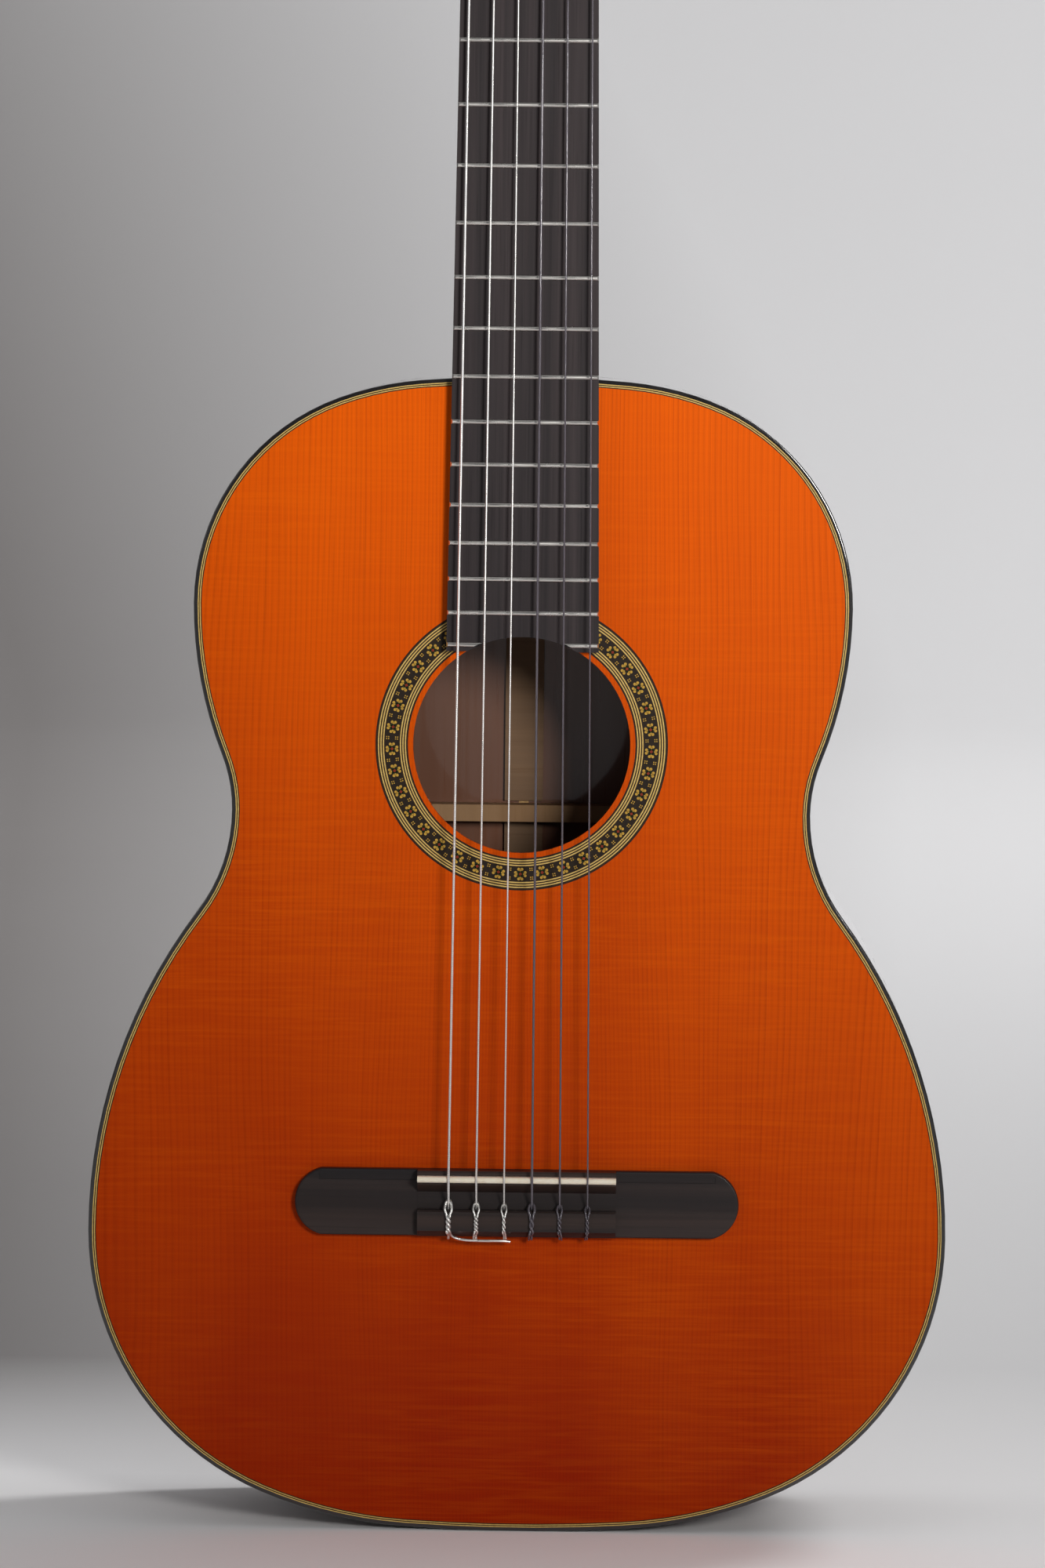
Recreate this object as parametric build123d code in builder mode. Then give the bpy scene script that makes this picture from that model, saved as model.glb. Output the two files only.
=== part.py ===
from build123d import *
from math import atan, atan2, cos, degrees, pi, radians, sin, sqrt, tan
import os

# A classical guitar, built as a maker builds it: plates, ribs, linings, bars and blocks glued into a
# sound box, a neck with heel and slotted headstock, fingerboard, bridge, strings and geared tuners.
# +X points to the treble side, +Y to the back, +Z up the neck. The front face of the soundboard is
# the plane Y = 0, and the origin is the lowest point of the body on that face. Millimetres.

# --- driving dimensions: body ---
scale_length = 650.0  # nut to saddle, without compensation
body_length = 471.0
lower_bout_width = 349.2
upper_bout_width = 266.6
waist_inset = 16.1  # how far the waist lies inside the upper bout, each side
depth_at_tail = 98.0
depth_at_neck = 92.0

# shape of the outline: heights as shares of the body length, radii as shares of a half width
lower_bout_level, waist_level, upper_bout_level = 0.2590, 0.6253, 0.8030
tail_flatness, tail_sweep, tail_roundness = 4.085, 3.6, 1.042
lower_shoulder_roundness, upper_waist_roundness = 1.252, 0.453
top_flatness, top_sweep, top_roundness = 3.70, 4.87, 0.9507

# --- driving dimensions: plates, ribs and edging ---
soundboard_thickness = 2.6
back_thickness = 2.6
rib_thickness = 2.2
binding_width = 1.6
binding_height = 6.0
edge_rounding = 0.7
purfling_line = 0.4
purfling_depth = 1.4
lining_width = 5.0
lining_height = 14.0
centre_strip_width = 4.0
seam_strip_width, seam_strip_thickness = 16.0, 2.0

# --- driving dimensions: soundhole and rosette ---
soundhole_radius = 44.0
soundhole_below_joint = 148.8  # centre of the soundhole below the 12th fret
rosette_margin = 2.1
rosette_depth = 1.4
rosette_line = 0.5
rosette_light_lines_per_side = 3
mosaic_width = 5.7
rosette_inner_border, rosette_outer_border, mosaic_border = 0.75, 1.0, 0.35

# --- driving dimensions: bracing and blocks ---
bar_width, bar_height = 6.0, 15.0
strut_height, strut_gap = 5.0, 0.5
fan_width, fan_height, fan_count = 5.0, 5.5, 7
fan_focus_rise, fan_end_margin, fan_spread, fan_shortening = 40.0, 34.0, 0.85, 0.0022
back_bar_width, back_bar_height = 7.0, 14.0
back_bar_shares = [0.322, 0.6115, 0.822]  # of the body length
seam_gap = 1.0  # between the seam strip and a bar
block_width, neck_block_length, end_block_length = 62.0, 24.0, 16.0
foot_length, foot_thickness = 48.0, 8.0
tenon_width, tenon_length = 20.0, 14.0
bridge_plate_length, bridge_plate_depth, bridge_plate_thickness = 190.0, 34.0, 2.0

# --- driving dimensions: neck and fingerboard ---
nut_width = 51.5
joint_width = 59.0  # fingerboard width where the neck meets the body
fingerboard_thickness = 6.0
fingerboard_overhang = 110.8  # past the body joint, towards the soundhole
neck_thickness_nut, neck_thickness_heel = 15.5, 17.5
heel_cap_thickness = 2.5
heel_foot_half_width, heel_foot_reach, heel_reach = 12.0, 13.5, 78.0
fret_count = 19
fret_width, fret_height, tang_width, tang_depth, fret_bevel = 2.0, 1.0, 0.6, 1.8, 30.0
nut_length, nut_height, nut_top_flat, nut_slope = 5.5, 7.95, 0.8, 26.0
headstock_angle = 15.0
headstock_width, headstock_length = 70.0, 190.0
headstock_thickness, headplate_thickness = 18.0, 2.0
slot_width, slot_length, centre_rib_width = 16.0, 108.0, 15.0
flare_length, crest_rise, foot_rounding = 30.0, 22.0, 13.0
ramp_start, ramp_end, ramp_depth = 12.0, 44.0, 7.0
scarf_angle = 38.0

# --- driving dimensions: bridge and strings ---
compensation = 0.0
bridge_length, bridge_depth, bridge_block_length = 180.4, 27.2, 80.6
wing_thickness, saddle_wall_height, tie_block_height = 4.2, 9.3, 8.6
bridge_front_wall, saddle_thickness, tie_block_depth = 1.9, 2.6, 11.1
channel_height, channel_length, saddle_slot_depth = 4.4, 7.0, 5.5
string_hole_height, string_hole_radius = 5.6, 0.85
wing_end_bulge, bridge_edge = 10.5, 0.7
string_spread_saddle, string_spread_nut = 56.4, 46.8
string_offset = 0.6  # strings sit a little towards the treble side
string_height_saddle, string_height_nut = 12.8, 7.6  # underside of the strings above the soundboard
string_diameters = [0.72, 0.82, 1.02, 0.76, 0.90, 1.09]  # strings 1 to 6

# --- driving dimensions: tuners ---
tuner_spacing = 35.0
first_tuner = 56.0  # along the headstock, from the nut's rear edge
tuner_depth = 8.0  # roller axis behind the headstock's wooden face
plate_thickness, plate_width, plate_screw_radius = 1.5, 15.0, 1.25
plate_end_margin = 5.5
plate_screw_head, plate_screw_length = 2.4, 8.0
roller_radius, journal_radius, journal_length, stub_radius = 4.8, 3.0, 4.6, 1.9
gear_teeth, gear_module, gear_width = 14, 0.8, 3.6
worm_pitch_radius, worm_shaft_radius, worm_turns = 2.6, 1.5, 4
tooth_share, flank_angle = 0.36, 20.0  # tooth and thread as a share of the pitch, at the pitch circle
lug_thickness, lug_width = 1.6, 7.0
gear_screw_radius, gear_screw_head, gear_screw_length = 0.9, 2.7, 5.0
screw_head_height, screw_slot = 1.1, 0.5
button_width, button_length, button_thickness, button_rounding = 17.0, 15.0, 7.5, 1.2
button_standoff = 6.0  # behind the back of the headstock
collar_radius, collar_length, button_grip = 3.2, 2.5, 8.0
winding_turns, turn_pitch = 3, 0.94  # pitch as a share of the string's thickness
winding_places = [19.5, 15.5, 15.0]  # across the headstock, from the rollers next to the nut

# --- clearances ---
fit_gap = 0.02  # pressed or seated pieces
run_gap = 0.08  # radial running clearance
side_gap = 0.3  # beside a turning piece
string_gap = 0.06  # between a string and what it lies on

# --- places worked out from the dimensions ---
joint_z = body_length  # the 12th fret lies over the body's top edge
saddle_line = joint_z - scale_length / 2
nut_z = saddle_line + scale_length
saddle_z = saddle_line - compensation
soundhole_z = joint_z - soundhole_below_joint
purfling_width = 4 * purfling_line
top_inset = binding_width + purfling_width
waist_width = upper_bout_width - 2 * waist_inset
fingerboard_end = joint_z - fingerboard_overhang
back_slope = atan((depth_at_tail - depth_at_neck) / body_length)
break_z = nut_z + nut_length  # where the headstock leans back from the neck
tilt = radians(headstock_angle)


def width_at(z):
    """Width of the fingerboard and neck at a height z."""
    return joint_width - (joint_width - nut_width) * (z - joint_z) / (nut_z - joint_z)


def depth_at(z):
    """Depth of the closed body at a height z, to the back's outer face."""
    return depth_at_tail - (depth_at_tail - depth_at_neck) * z / body_length


def fret_z(number):
    return saddle_line + scale_length * 2 ** (-number / 12)


# --- planes ---
def at_depth(y):
    """Sketch plane parallel to the soundboard, y behind its face: local x is X, local y is Z."""
    return Plane.XZ.offset(-y)


back_face = Plane(
    origin=(0, depth_at_tail, 0), x_dir=(1, 0, 0), z_dir=(0, cos(back_slope), sin(back_slope))
)
back_inside = back_face.offset(-back_thickness)
head_face = Plane(origin=(0, 0, break_z), x_dir=(1, 0, 0), z_dir=(0, -cos(tilt), sin(tilt)))
along_head = Vector(0, sin(tilt), cos(tilt))
behind_head = Vector(0, cos(tilt), -sin(tilt))


def head_point(x, along, behind=0.0):
    """Point on the headstock: along its face from the nut, and behind that face."""
    return Vector(x, 0, break_z) + along_head * along + behind_head * behind


# --- the body's outline, from tangent arcs ---
def two_arcs(start, start_dir, end, end_dir, first_radius, first_side, last_side):
    """Two tangent arcs between two points with given directions. A side of 1 puts an arc's centre
    on the left of its direction, inside the body, and -1 on the right, outside it."""
    first_normal = Vector(-start_dir.Y, start_dir.X) * first_side
    last_normal = Vector(-end_dir.Y, end_dir.X) * last_side
    first_centre = start + first_normal * first_radius
    gap = end - first_centre
    turn = 1 if first_side == last_side else -1
    last_radius = (first_radius**2 - gap.dot(gap)) / (2 * (gap.dot(last_normal) + turn * first_radius))
    last_centre = end + last_normal * last_radius
    between = (last_centre - first_centre).normalized()
    if first_side == last_side and first_radius < last_radius:
        between = between * -1
    join = first_centre + between * first_radius
    return [
        (first_centre, first_radius, start, join, first_side),
        (last_centre, last_radius, join, end, last_side),
    ]


def bout_end(half_width, height, flatness, sweep, roundness):
    """Quarter of an oval from (0, 0), running along x, to (half_width, height): three arcs."""
    radius, turned = flatness * half_width, radians(sweep)
    centre = Vector(0, radius)
    corner = Vector(radius * sin(turned), radius * (1 - cos(turned)))
    direction = Vector(cos(turned), sin(turned))
    widest = Vector(half_width, height)
    return [(centre, radius, Vector(0, 0), corner, 1)] + two_arcs(
        corner, direction, widest, Vector(0, 1), roundness * half_width, 1, 1
    )


def half_outline():
    """Arcs of the treble half of the outline, from the tail's centre to the neck's."""
    lower, upper, waist = lower_bout_width / 2, upper_bout_width / 2, waist_width / 2
    up = Vector(0, 1)
    lower_point = Vector(lower, lower_bout_level * body_length)
    waist_point = Vector(waist, waist_level * body_length)
    upper_point = Vector(upper, upper_bout_level * body_length)
    arcs = bout_end(lower, lower_point.Y, tail_flatness, tail_sweep, tail_roundness)
    arcs += two_arcs(lower_point, up, waist_point, up, lower_shoulder_roundness * lower, 1, -1)
    arcs += two_arcs(waist_point, up, upper_point, up, upper_waist_roundness * upper, -1, 1)
    top = bout_end(upper, body_length - upper_point.Y, top_flatness, top_sweep, top_roundness)
    for centre, radius, start, end, side in reversed(top):  # the same oval, turned upside down
        arcs.append(
            (
                Vector(centre.X, body_length - centre.Y),
                radius,
                Vector(end.X, body_length - end.Y),
                Vector(start.X, body_length - start.Y),
                side,
            )
        )
    return arcs


outline_arcs = half_outline()


def draw_outline(inset):
    """Draws the closed outline, moved in by inset, into the open BuildLine."""
    for centre, radius, start, end, side in outline_arcs:
        grown = (radius - side * inset) / radius
        first = centre + (start - centre) * grown
        last = centre + (end - centre) * grown
        towards_middle = ((start - centre) + (end - centre)).normalized()
        middle = centre + towards_middle * radius * grown
        for hand in (1, -1):
            ThreePointArc(
                (hand * first.X, first.Y), (hand * middle.X, middle.Y), (hand * last.X, last.Y)
            )


def body_slab(inset, front, back):
    """Solid inside the outline moved in by inset, between two depths behind the soundboard's face."""
    with BuildPart() as slab:
        with BuildSketch(at_depth(front)):
            with BuildLine():
                draw_outline(inset)
            make_face()
        extrude(amount=front - back)
    return slab.part


def body_ring(outer, inner, front, back):
    """Closed band between two insets of the outline and two depths."""
    with BuildPart() as ring:
        add(body_slab(outer, front, back))
        add(body_slab(inner, front, back), mode=Mode.SUBTRACT)
    return ring.part


def keep_between(part, front_plane=None, back_plane=None):
    """The stretch of a part in front of back_plane and behind front_plane."""
    with BuildPart() as kept:
        add(part)
        if back_plane:
            split(bisect_by=back_plane, keep=Keep.BOTTOM)
        if front_plane:
            split(bisect_by=front_plane, keep=Keep.TOP)
    return kept.part


def half_of(part, keep):
    """The treble half (Keep.TOP) or the bass half (Keep.BOTTOM) of a part."""
    with BuildPart() as half:
        add(part)
        split(bisect_by=Plane.YZ, keep=keep)
    return half.part


written = []


def write(part, name):
    """Labels a finished piece and writes it as its own node."""
    part.label = name
    export_step(part, f"parts/{name}.step")
    written.append(name)


os.makedirs("parts", exist_ok=True)
deep = depth_at_tail + 20  # past the back, for stock that is cut down to it
inside = keep_between(body_slab(rib_thickness, soundboard_thickness, deep), back_plane=back_inside)

# === neck joint: a tenon on the heel in a mortise through the ribs and the neck block ===
tenon_front = soundboard_thickness + 4
tenon_back = depth_at_neck - back_thickness - foot_thickness - 6
tenon_bottom = body_length - rib_thickness - tenon_length


def tenon_stock(extra):
    with BuildPart() as stock:
        with BuildSketch(at_depth(tenon_front - extra)):
            with Locations((0, tenon_bottom - extra)):
                Rectangle(
                    tenon_width + 2 * extra, body_length + 6 - tenon_bottom, align=(Align.CENTER, Align.MIN)
                )
        extrude(amount=tenon_front - tenon_back - 2 * extra)
    return stock.part


mortise = tenon_stock(fit_gap)

# === soundboard: two bookmatched halves, with the soundhole, rosette channel and purfling ledge ===
rosette_inner = soundhole_radius + rosette_margin
line_pair = (2 * rosette_light_lines_per_side - 1) * rosette_line
mosaic_inner = rosette_inner + rosette_inner_border + line_pair + mosaic_border
mosaic_outer = mosaic_inner + mosaic_width
rosette_outer = mosaic_outer + mosaic_border + line_pair + rosette_outer_border

with BuildPart() as soundboard:
    add(body_slab(top_inset, 0, purfling_depth))
    add(body_slab(binding_width, purfling_depth, soundboard_thickness))
    with BuildSketch(at_depth(0)):
        with Locations((0, soundhole_z)):
            Circle(soundhole_radius)
    extrude(amount=-soundboard_thickness, mode=Mode.SUBTRACT)
    with BuildSketch(at_depth(0)):
        with Locations((0, soundhole_z)):
            Circle(rosette_outer)
            Circle(rosette_inner, mode=Mode.SUBTRACT)
    extrude(amount=-rosette_depth, mode=Mode.SUBTRACT)
write(half_of(soundboard.part, Keep.BOTTOM), "soundboard_bass_half")
write(half_of(soundboard.part, Keep.TOP), "soundboard_treble_half")


# === rosette: dark and light lines either side of a mosaic band ===
def rosette_rings(bands):
    """Flush rings, each a separate solid, from (inner, outer) radii."""
    with BuildPart() as rings:
        with BuildSketch(at_depth(0)):
            for inner, outer in bands:
                with Locations((0, soundhole_z)):
                    Circle(outer)
                    Circle(inner, mode=Mode.SUBTRACT)
        extrude(amount=-rosette_depth)
    return rings.part


def line_bands(start):
    """(light, dark) bands of one group of fine lines, outwards from a radius."""
    edges = [start + rosette_line * step for step in range(2 * rosette_light_lines_per_side)]
    bands = list(zip(edges, edges[1:]))
    return bands[0::2], bands[1::2]


inner_light, inner_dark = line_bands(rosette_inner + rosette_inner_border)
outer_light, outer_dark = line_bands(mosaic_outer + mosaic_border)
borders = [
    (rosette_inner, rosette_inner + rosette_inner_border),
    (mosaic_inner - mosaic_border, mosaic_inner),
    (mosaic_outer, mosaic_outer + mosaic_border),
    (rosette_outer - rosette_outer_border, rosette_outer),
]
write(rosette_rings(outer_light[::-1] + inner_light[::-1]), "rosette_light_lines")
write(rosette_rings(sorted(borders + inner_dark + outer_dark, reverse=True)), "rosette_dark_lines")
write(rosette_rings([(mosaic_inner, mosaic_outer)]), "rosette_mosaic_band")

# === edging: front binding and purfling lines, back binding ===
def rounded_edge(part, face_plane):
    """Rounds a slab's edge that lies in a plane."""
    with BuildPart() as rounded:
        add(part)
        rim = rounded.edges().filter_by(lambda edge: abs(face_plane.to_local_coords(edge.center()).Z) < 0.01)
        fillet(rim, edge_rounding)
    return rounded.part


with BuildPart() as front_binding:
    add(rounded_edge(body_slab(0, 0, binding_height), Plane.XZ))
    add(body_slab(binding_width, 0, binding_height), mode=Mode.SUBTRACT)
write(front_binding.part, "front_binding")


def purfling_rings(steps):
    with BuildPart() as rings:
        for step in steps:
            start = binding_width + step * purfling_line
            add(body_ring(start, start + purfling_line, 0, purfling_depth))
    return rings.part


write(purfling_rings((0, 2)), "purfling_light_lines")
write(purfling_rings((1, 3)), "purfling_dark_lines")

back_binding_front = back_face.offset(-binding_height)
back_rim = keep_between(body_slab(0, depth_at_neck / 2, deep), back_binding_front, back_face)
with BuildPart() as back_binding:
    add(rounded_edge(back_rim, back_face))
    add(body_slab(binding_width, depth_at_neck / 2, deep), mode=Mode.SUBTRACT)
write(back_binding.part, "back_binding")

# === ribs: two bent sides, rabbeted for both bindings, open at the neck mortise ===
with BuildPart() as ribs:
    add(keep_between(body_ring(0, rib_thickness, binding_height, deep), back_plane=back_binding_front))
    add(
        keep_between(
            body_ring(binding_width, rib_thickness, soundboard_thickness, deep), back_plane=back_inside
        )
    )
    add(mortise, mode=Mode.SUBTRACT)
write(half_of(ribs.part, Keep.BOTTOM), "bass_rib")
write(half_of(ribs.part, Keep.TOP), "treble_rib")

# === back: two halves either side of an inlaid centre strip ===
back_plate = keep_between(body_slab(binding_width, depth_at_neck / 2, deep), back_inside, back_face)
with BuildPart() as strip_stock:
    with BuildSketch(at_depth(depth_at_neck / 2)):
        with Locations((0, body_length / 2)):
            Rectangle(centre_strip_width, 2 * body_length)
    extrude(amount=depth_at_neck / 2 - deep)
with BuildPart() as back_without_strip:
    add(back_plate)
    add(strip_stock.part, mode=Mode.SUBTRACT)
with BuildPart() as back_centre_strip:
    add(back_plate)
    add(strip_stock.part, mode=Mode.INTERSECT)
write(half_of(back_without_strip.part, Keep.BOTTOM), "back_bass_half")
write(half_of(back_without_strip.part, Keep.TOP), "back_treble_half")
write(back_centre_strip.part, "back_centre_strip")

# === blocks inside the body ===
with BuildPart() as neck_block:
    with BuildSketch(at_depth(soundboard_thickness)):
        with Locations((0, body_length)):
            Rectangle(block_width, 2 * neck_block_length + 2 * rib_thickness)
    extrude(amount=soundboard_thickness - deep)
    with BuildSketch(at_depth(depth_at_neck - back_thickness - foot_thickness)):
        with Locations((0, body_length)):
            Rectangle(block_width, 2 * foot_length + 2 * neck_block_length)
    extrude(amount=-deep / 2)
    add(inside, mode=Mode.INTERSECT)
    add(mortise, mode=Mode.SUBTRACT)
write(neck_block.part, "neck_block")

with BuildPart() as end_block:
    with BuildSketch(at_depth(soundboard_thickness)):
        Rectangle(block_width, 2 * end_block_length + 2 * rib_thickness)
    extrude(amount=soundboard_thickness - deep)
    add(inside, mode=Mode.INTERSECT)
write(end_block.part, "end_block")

# === linings: strips that join plates to ribs, stopped at the blocks ===
lining_inner = rib_thickness + lining_width
front_lining = body_ring(
    rib_thickness, lining_inner, soundboard_thickness, soundboard_thickness + lining_height
)
back_lining = keep_between(
    body_ring(rib_thickness, lining_inner, depth_at_neck / 2, deep),
    back_inside.offset(-lining_height),
    back_inside,
)
with BuildPart() as linings:
    add(front_lining)
    add(back_lining)
    with BuildSketch(at_depth(0)):
        Rectangle(block_width, 4 * end_block_length)
        with Locations((0, body_length)):
            Rectangle(block_width, 2 * (foot_length + neck_block_length))
    extrude(amount=-deep, mode=Mode.SUBTRACT)
write(linings.part, "linings")


# === bracing ===
def half_width_inside(z, inset):
    """Half width of the outline moved in by inset, at a height z."""
    for centre, radius, start, end, side in outline_arcs:
        if start.Y <= z <= end.Y:
            grown = radius - side * inset
            return centre.X + side * sqrt(grown**2 - (z - centre.Y) ** 2)


def cross_bar(z, width, height, face_plane, hand, shoulder=3.0):
    """A bar across the body at height z, standing on a plate's inner face, with sloped ends.
    hand is 1 where the bar stands towards +Y and -1 where it stands towards -Y."""
    reach = half_width_inside(z - width, lining_inner + fit_gap)
    reach = min(reach, half_width_inside(z + width, lining_inner + fit_gap))
    slope = 4 * height
    with BuildPart() as bar:
        with BuildSketch(Plane.XY.offset(z - width / 2)):
            with BuildLine():
                Polyline(
                    (-reach, 0),
                    (reach, 0),
                    (reach, hand * shoulder),
                    (reach - slope, hand * height),
                    (slope - reach, hand * height),
                    (-reach, hand * shoulder),
                    close=True,
                )
            make_face()
        extrude(amount=width)
    return bar.part.moved(Location((0, face_plane, 0)))


bar_levels = [
    soundhole_z + rosette_outer + 22,
    soundhole_z - rosette_outer - 8,
]
bridge_z = saddle_z + saddle_thickness / 2 + bridge_front_wall - bridge_depth / 2
with BuildPart() as transverse_bars:
    for level in bar_levels:
        add(cross_bar(level, bar_width, bar_height, soundboard_thickness, 1))
    with BuildSketch(at_depth(soundboard_thickness)):
        for side in (1, -1):  # short struts beside the soundhole
            with Locations((side * (rosette_outer + 4), (bar_levels[0] + bar_levels[1]) / 2)):
                Rectangle(bar_width, bar_levels[0] - bar_levels[1] - bar_width - 2 * strut_gap)
    extrude(amount=-strut_height)
write(transverse_bars.part, "transverse_bars")

with BuildPart() as bridge_plate:
    with BuildSketch(at_depth(soundboard_thickness)):
        with Locations((0, bridge_z)):
            RectangleRounded(bridge_plate_length, bridge_plate_depth, 6)
    extrude(amount=-bridge_plate_thickness)
write(bridge_plate.part, "bridge_plate")

fan_top = bar_levels[1] - bar_width / 2 - 1
fan_focus = joint_z + fan_focus_rise  # the fan's lines meet on the neck
fan_reach = fan_focus - lower_bout_level * body_length
fan_angle = fan_spread * degrees(atan2(lower_bout_width / 2 - lining_inner, fan_reach)) / ((fan_count - 1) / 2)
with BuildPart() as fan_braces:
    for number in range(fan_count):
        turn = (number - (fan_count - 1) / 2) * fan_angle
        inner_end = (fan_focus - fan_top) / cos(radians(turn))
        outer_end = (fan_focus - fan_end_margin) * (1 - fan_shortening * abs(turn) ** 1.4)
        with BuildSketch(at_depth(soundboard_thickness)):
            with Locations((0, fan_focus)):
                with Locations(Location((0, 0), turn)):
                    with Locations((0, -(inner_end + outer_end) / 2)):
                        Rectangle(fan_width, outer_end - inner_end)
        extrude(amount=-fan_height)
    add(transverse_bars.part, mode=Mode.SUBTRACT)
    add(bridge_plate.part, mode=Mode.SUBTRACT)
write(fan_braces.part, "fan_braces")

back_bar_levels = [share * body_length for share in back_bar_shares]
with BuildPart() as back_braces:
    for level in back_bar_levels:  # each foot runs past the sloping back and is trimmed to it
        add(cross_bar(level, back_bar_width, back_bar_height, depth_at(level) - back_thickness + 1, -1))
    add(inside, mode=Mode.INTERSECT)
write(back_braces.part, "back_braces")

with BuildPart() as back_seam_strip:
    with BuildSketch(at_depth(depth_at_neck / 2)):
        with Locations((0, body_length / 2)):
            Rectangle(seam_strip_width, body_length)
    extrude(amount=depth_at_neck / 2 - deep)
    split(bisect_by=back_inside, keep=Keep.BOTTOM)
    split(bisect_by=back_inside.offset(-seam_strip_thickness), keep=Keep.TOP)
    with BuildSketch(at_depth(0)):
        for level in back_bar_levels:
            with Locations((0, level)):
                Rectangle(2 * seam_strip_width, back_bar_width + 2 * seam_gap)
        Rectangle(2 * seam_strip_width, 2 * (end_block_length + rib_thickness + seam_gap))
        with Locations((0, body_length)):
            Rectangle(2 * seam_strip_width, 2 * (foot_length + neck_block_length + seam_gap))
    extrude(amount=-deep, mode=Mode.SUBTRACT)
write(back_seam_strip.part, "back_seam_strip")

# === neck: D-shaped shaft, heel and tenon, joined to the headstock by a scarf ===


def half_ellipse(plane, half_width, depth):
    """Closed face: a straight side along local x through the origin and a half ellipse on +y."""
    with BuildSketch(plane) as shape:
        with BuildLine():
            Line((-half_width, 0), (half_width, 0))
            EllipticalCenterArc((0, 0), half_width, depth, start_angle=0, arc_size=180)
        make_face()
    return shape.sketch


def shaft_depth(z):
    """Thickness of the neck's wood, slightly growing from nut to body."""
    share = (z - joint_z) / (nut_z - joint_z)
    return neck_thickness_heel + (neck_thickness_nut - neck_thickness_heel) * share


def across_neck(z):
    """Sketch plane square to the neck: local x is X, local y points back."""
    return Plane(origin=(0, 0, z), x_dir=(1, 0, 0), z_dir=(0, 0, 1))


def heel_section(y):
    """Half ellipse across the heel at a depth y behind the soundboard's face."""
    share = (y - heel_front) / (heel_bottom - heel_front)
    half_width = heel_foot_half_width + (joint_width / 2 - heel_foot_half_width) * (1 - share) ** 1.3
    reach = heel_foot_reach + (heel_reach - heel_foot_reach) * (1 - share) ** 3.2
    plane = Plane(origin=(0, y, joint_z - seat_margin), x_dir=(1, 0, 0), z_dir=(0, -1, 0))
    return half_ellipse(plane, half_width, reach + seat_margin)


heel_front, heel_bottom = 4.0, depth_at_neck - heel_cap_thickness
seat_margin = 2.0  # stock that runs into the body before it is cut to the ribs
seat = body_slab(0, -1, deep)
body_side = width_at(nut_z) / 2  # half width of the headstock where it leaves the nut

with BuildPart() as shaft:
    for level in (joint_z - seat_margin, break_z):
        add(half_ellipse(across_neck(level), width_at(level) / 2, shaft_depth(level)))
    loft()

with BuildPart() as heel:
    for share in (0, 0.08, 0.18, 0.32, 0.52, 0.76, 1):
        add(heel_section(heel_front + share * (heel_bottom - heel_front)))
    loft()

half_head = headstock_width / 2
shoulder_level = headstock_length - crest_rise
with BuildSketch(head_face) as head_outline:
    with BuildLine():
        for hand in (1, -1):
            Line((0, 0), (hand * body_side, 0))
            Spline(
                (hand * body_side, 0),
                (hand * half_head, flare_length),
                tangents=((hand * 0.15, 1), (hand * 0.05, 1)),
            )
            Line((hand * half_head, flare_length), (hand * half_head, shoulder_level))
            ThreePointArc(
                (hand * half_head, shoulder_level),
                (hand * 0.70 * half_head, shoulder_level + 0.22 * crest_rise),
                (hand * 0.50 * half_head, shoulder_level + 0.55 * crest_rise),
            )
            ThreePointArc(
                (hand * 0.50 * half_head, shoulder_level + 0.55 * crest_rise),
                (hand * 0.27 * half_head, shoulder_level + 0.88 * crest_rise),
                (0, headstock_length),
            )
    make_face()

with BuildPart() as head_slab:
    extrude(head_outline.sketch, amount=-headstock_thickness)
    foot = head_slab.edges().filter_by(
        lambda edge: (edge.center() - head_point(0, 0, headstock_thickness)).length < 0.01
    )
    fillet(foot, foot_rounding)

slot_centre = centre_rib_width / 2 + slot_width / 2
slot_middle = first_tuner + tuner_spacing
roller_levels = [first_tuner + tuner_spacing * number for number in range(3)]


def slot_openings(front, back):
    """Stock for both string slots, with the ramps the strings run down, between two depths."""
    with BuildPart() as openings:
        with BuildSketch(head_face.offset(-front)):
            with Locations((slot_centre, slot_middle), (-slot_centre, slot_middle)):
                SlotOverall(slot_length, slot_width, rotation=90)
        extrude(amount=front - back)
        for hand in (1, -1):
            ramp_plane = Plane(head_point(hand * slot_centre, 0), x_dir=along_head, z_dir=(1, 0, 0))
            with BuildSketch(ramp_plane):
                with BuildLine():
                    Polyline(
                        (ramp_start, headplate_thickness),
                        (ramp_end, headplate_thickness),
                        (ramp_end, -ramp_depth),
                        close=True,
                    )
                make_face()
            extrude(amount=slot_width / 2, both=True)
    return openings.part


def drill(centre, direction, radius, length):
    """Round stock along a direction from a centre."""
    with BuildPart() as stock:
        with BuildSketch(Plane(centre, z_dir=direction)):
            Circle(radius)
        extrude(amount=length)
    return stock.part


scarf = Plane(
    origin=(0, 0, break_z), x_dir=(1, 0, 0), z_dir=(0, sin(radians(scarf_angle)), cos(radians(scarf_angle)))
)
outward = Vector(1, 0, 0)
gear_pitch_radius = gear_teeth * gear_module / 2
worm_offset = gear_pitch_radius + worm_pitch_radius  # between the roller's axis and the worm's
between_screws = (tuner_spacing - worm_offset) / 2 + 1.3
screw_levels = [first_tuner - worm_offset - 9.3]
screw_levels += [roller_levels[step] + between_screws for step in range(2)]
screw_levels.append(roller_levels[-1] + 17)
roller_of_string = [0, 1, 2, 2, 1, 0]  # outer strings go to the rollers next to the nut

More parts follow.
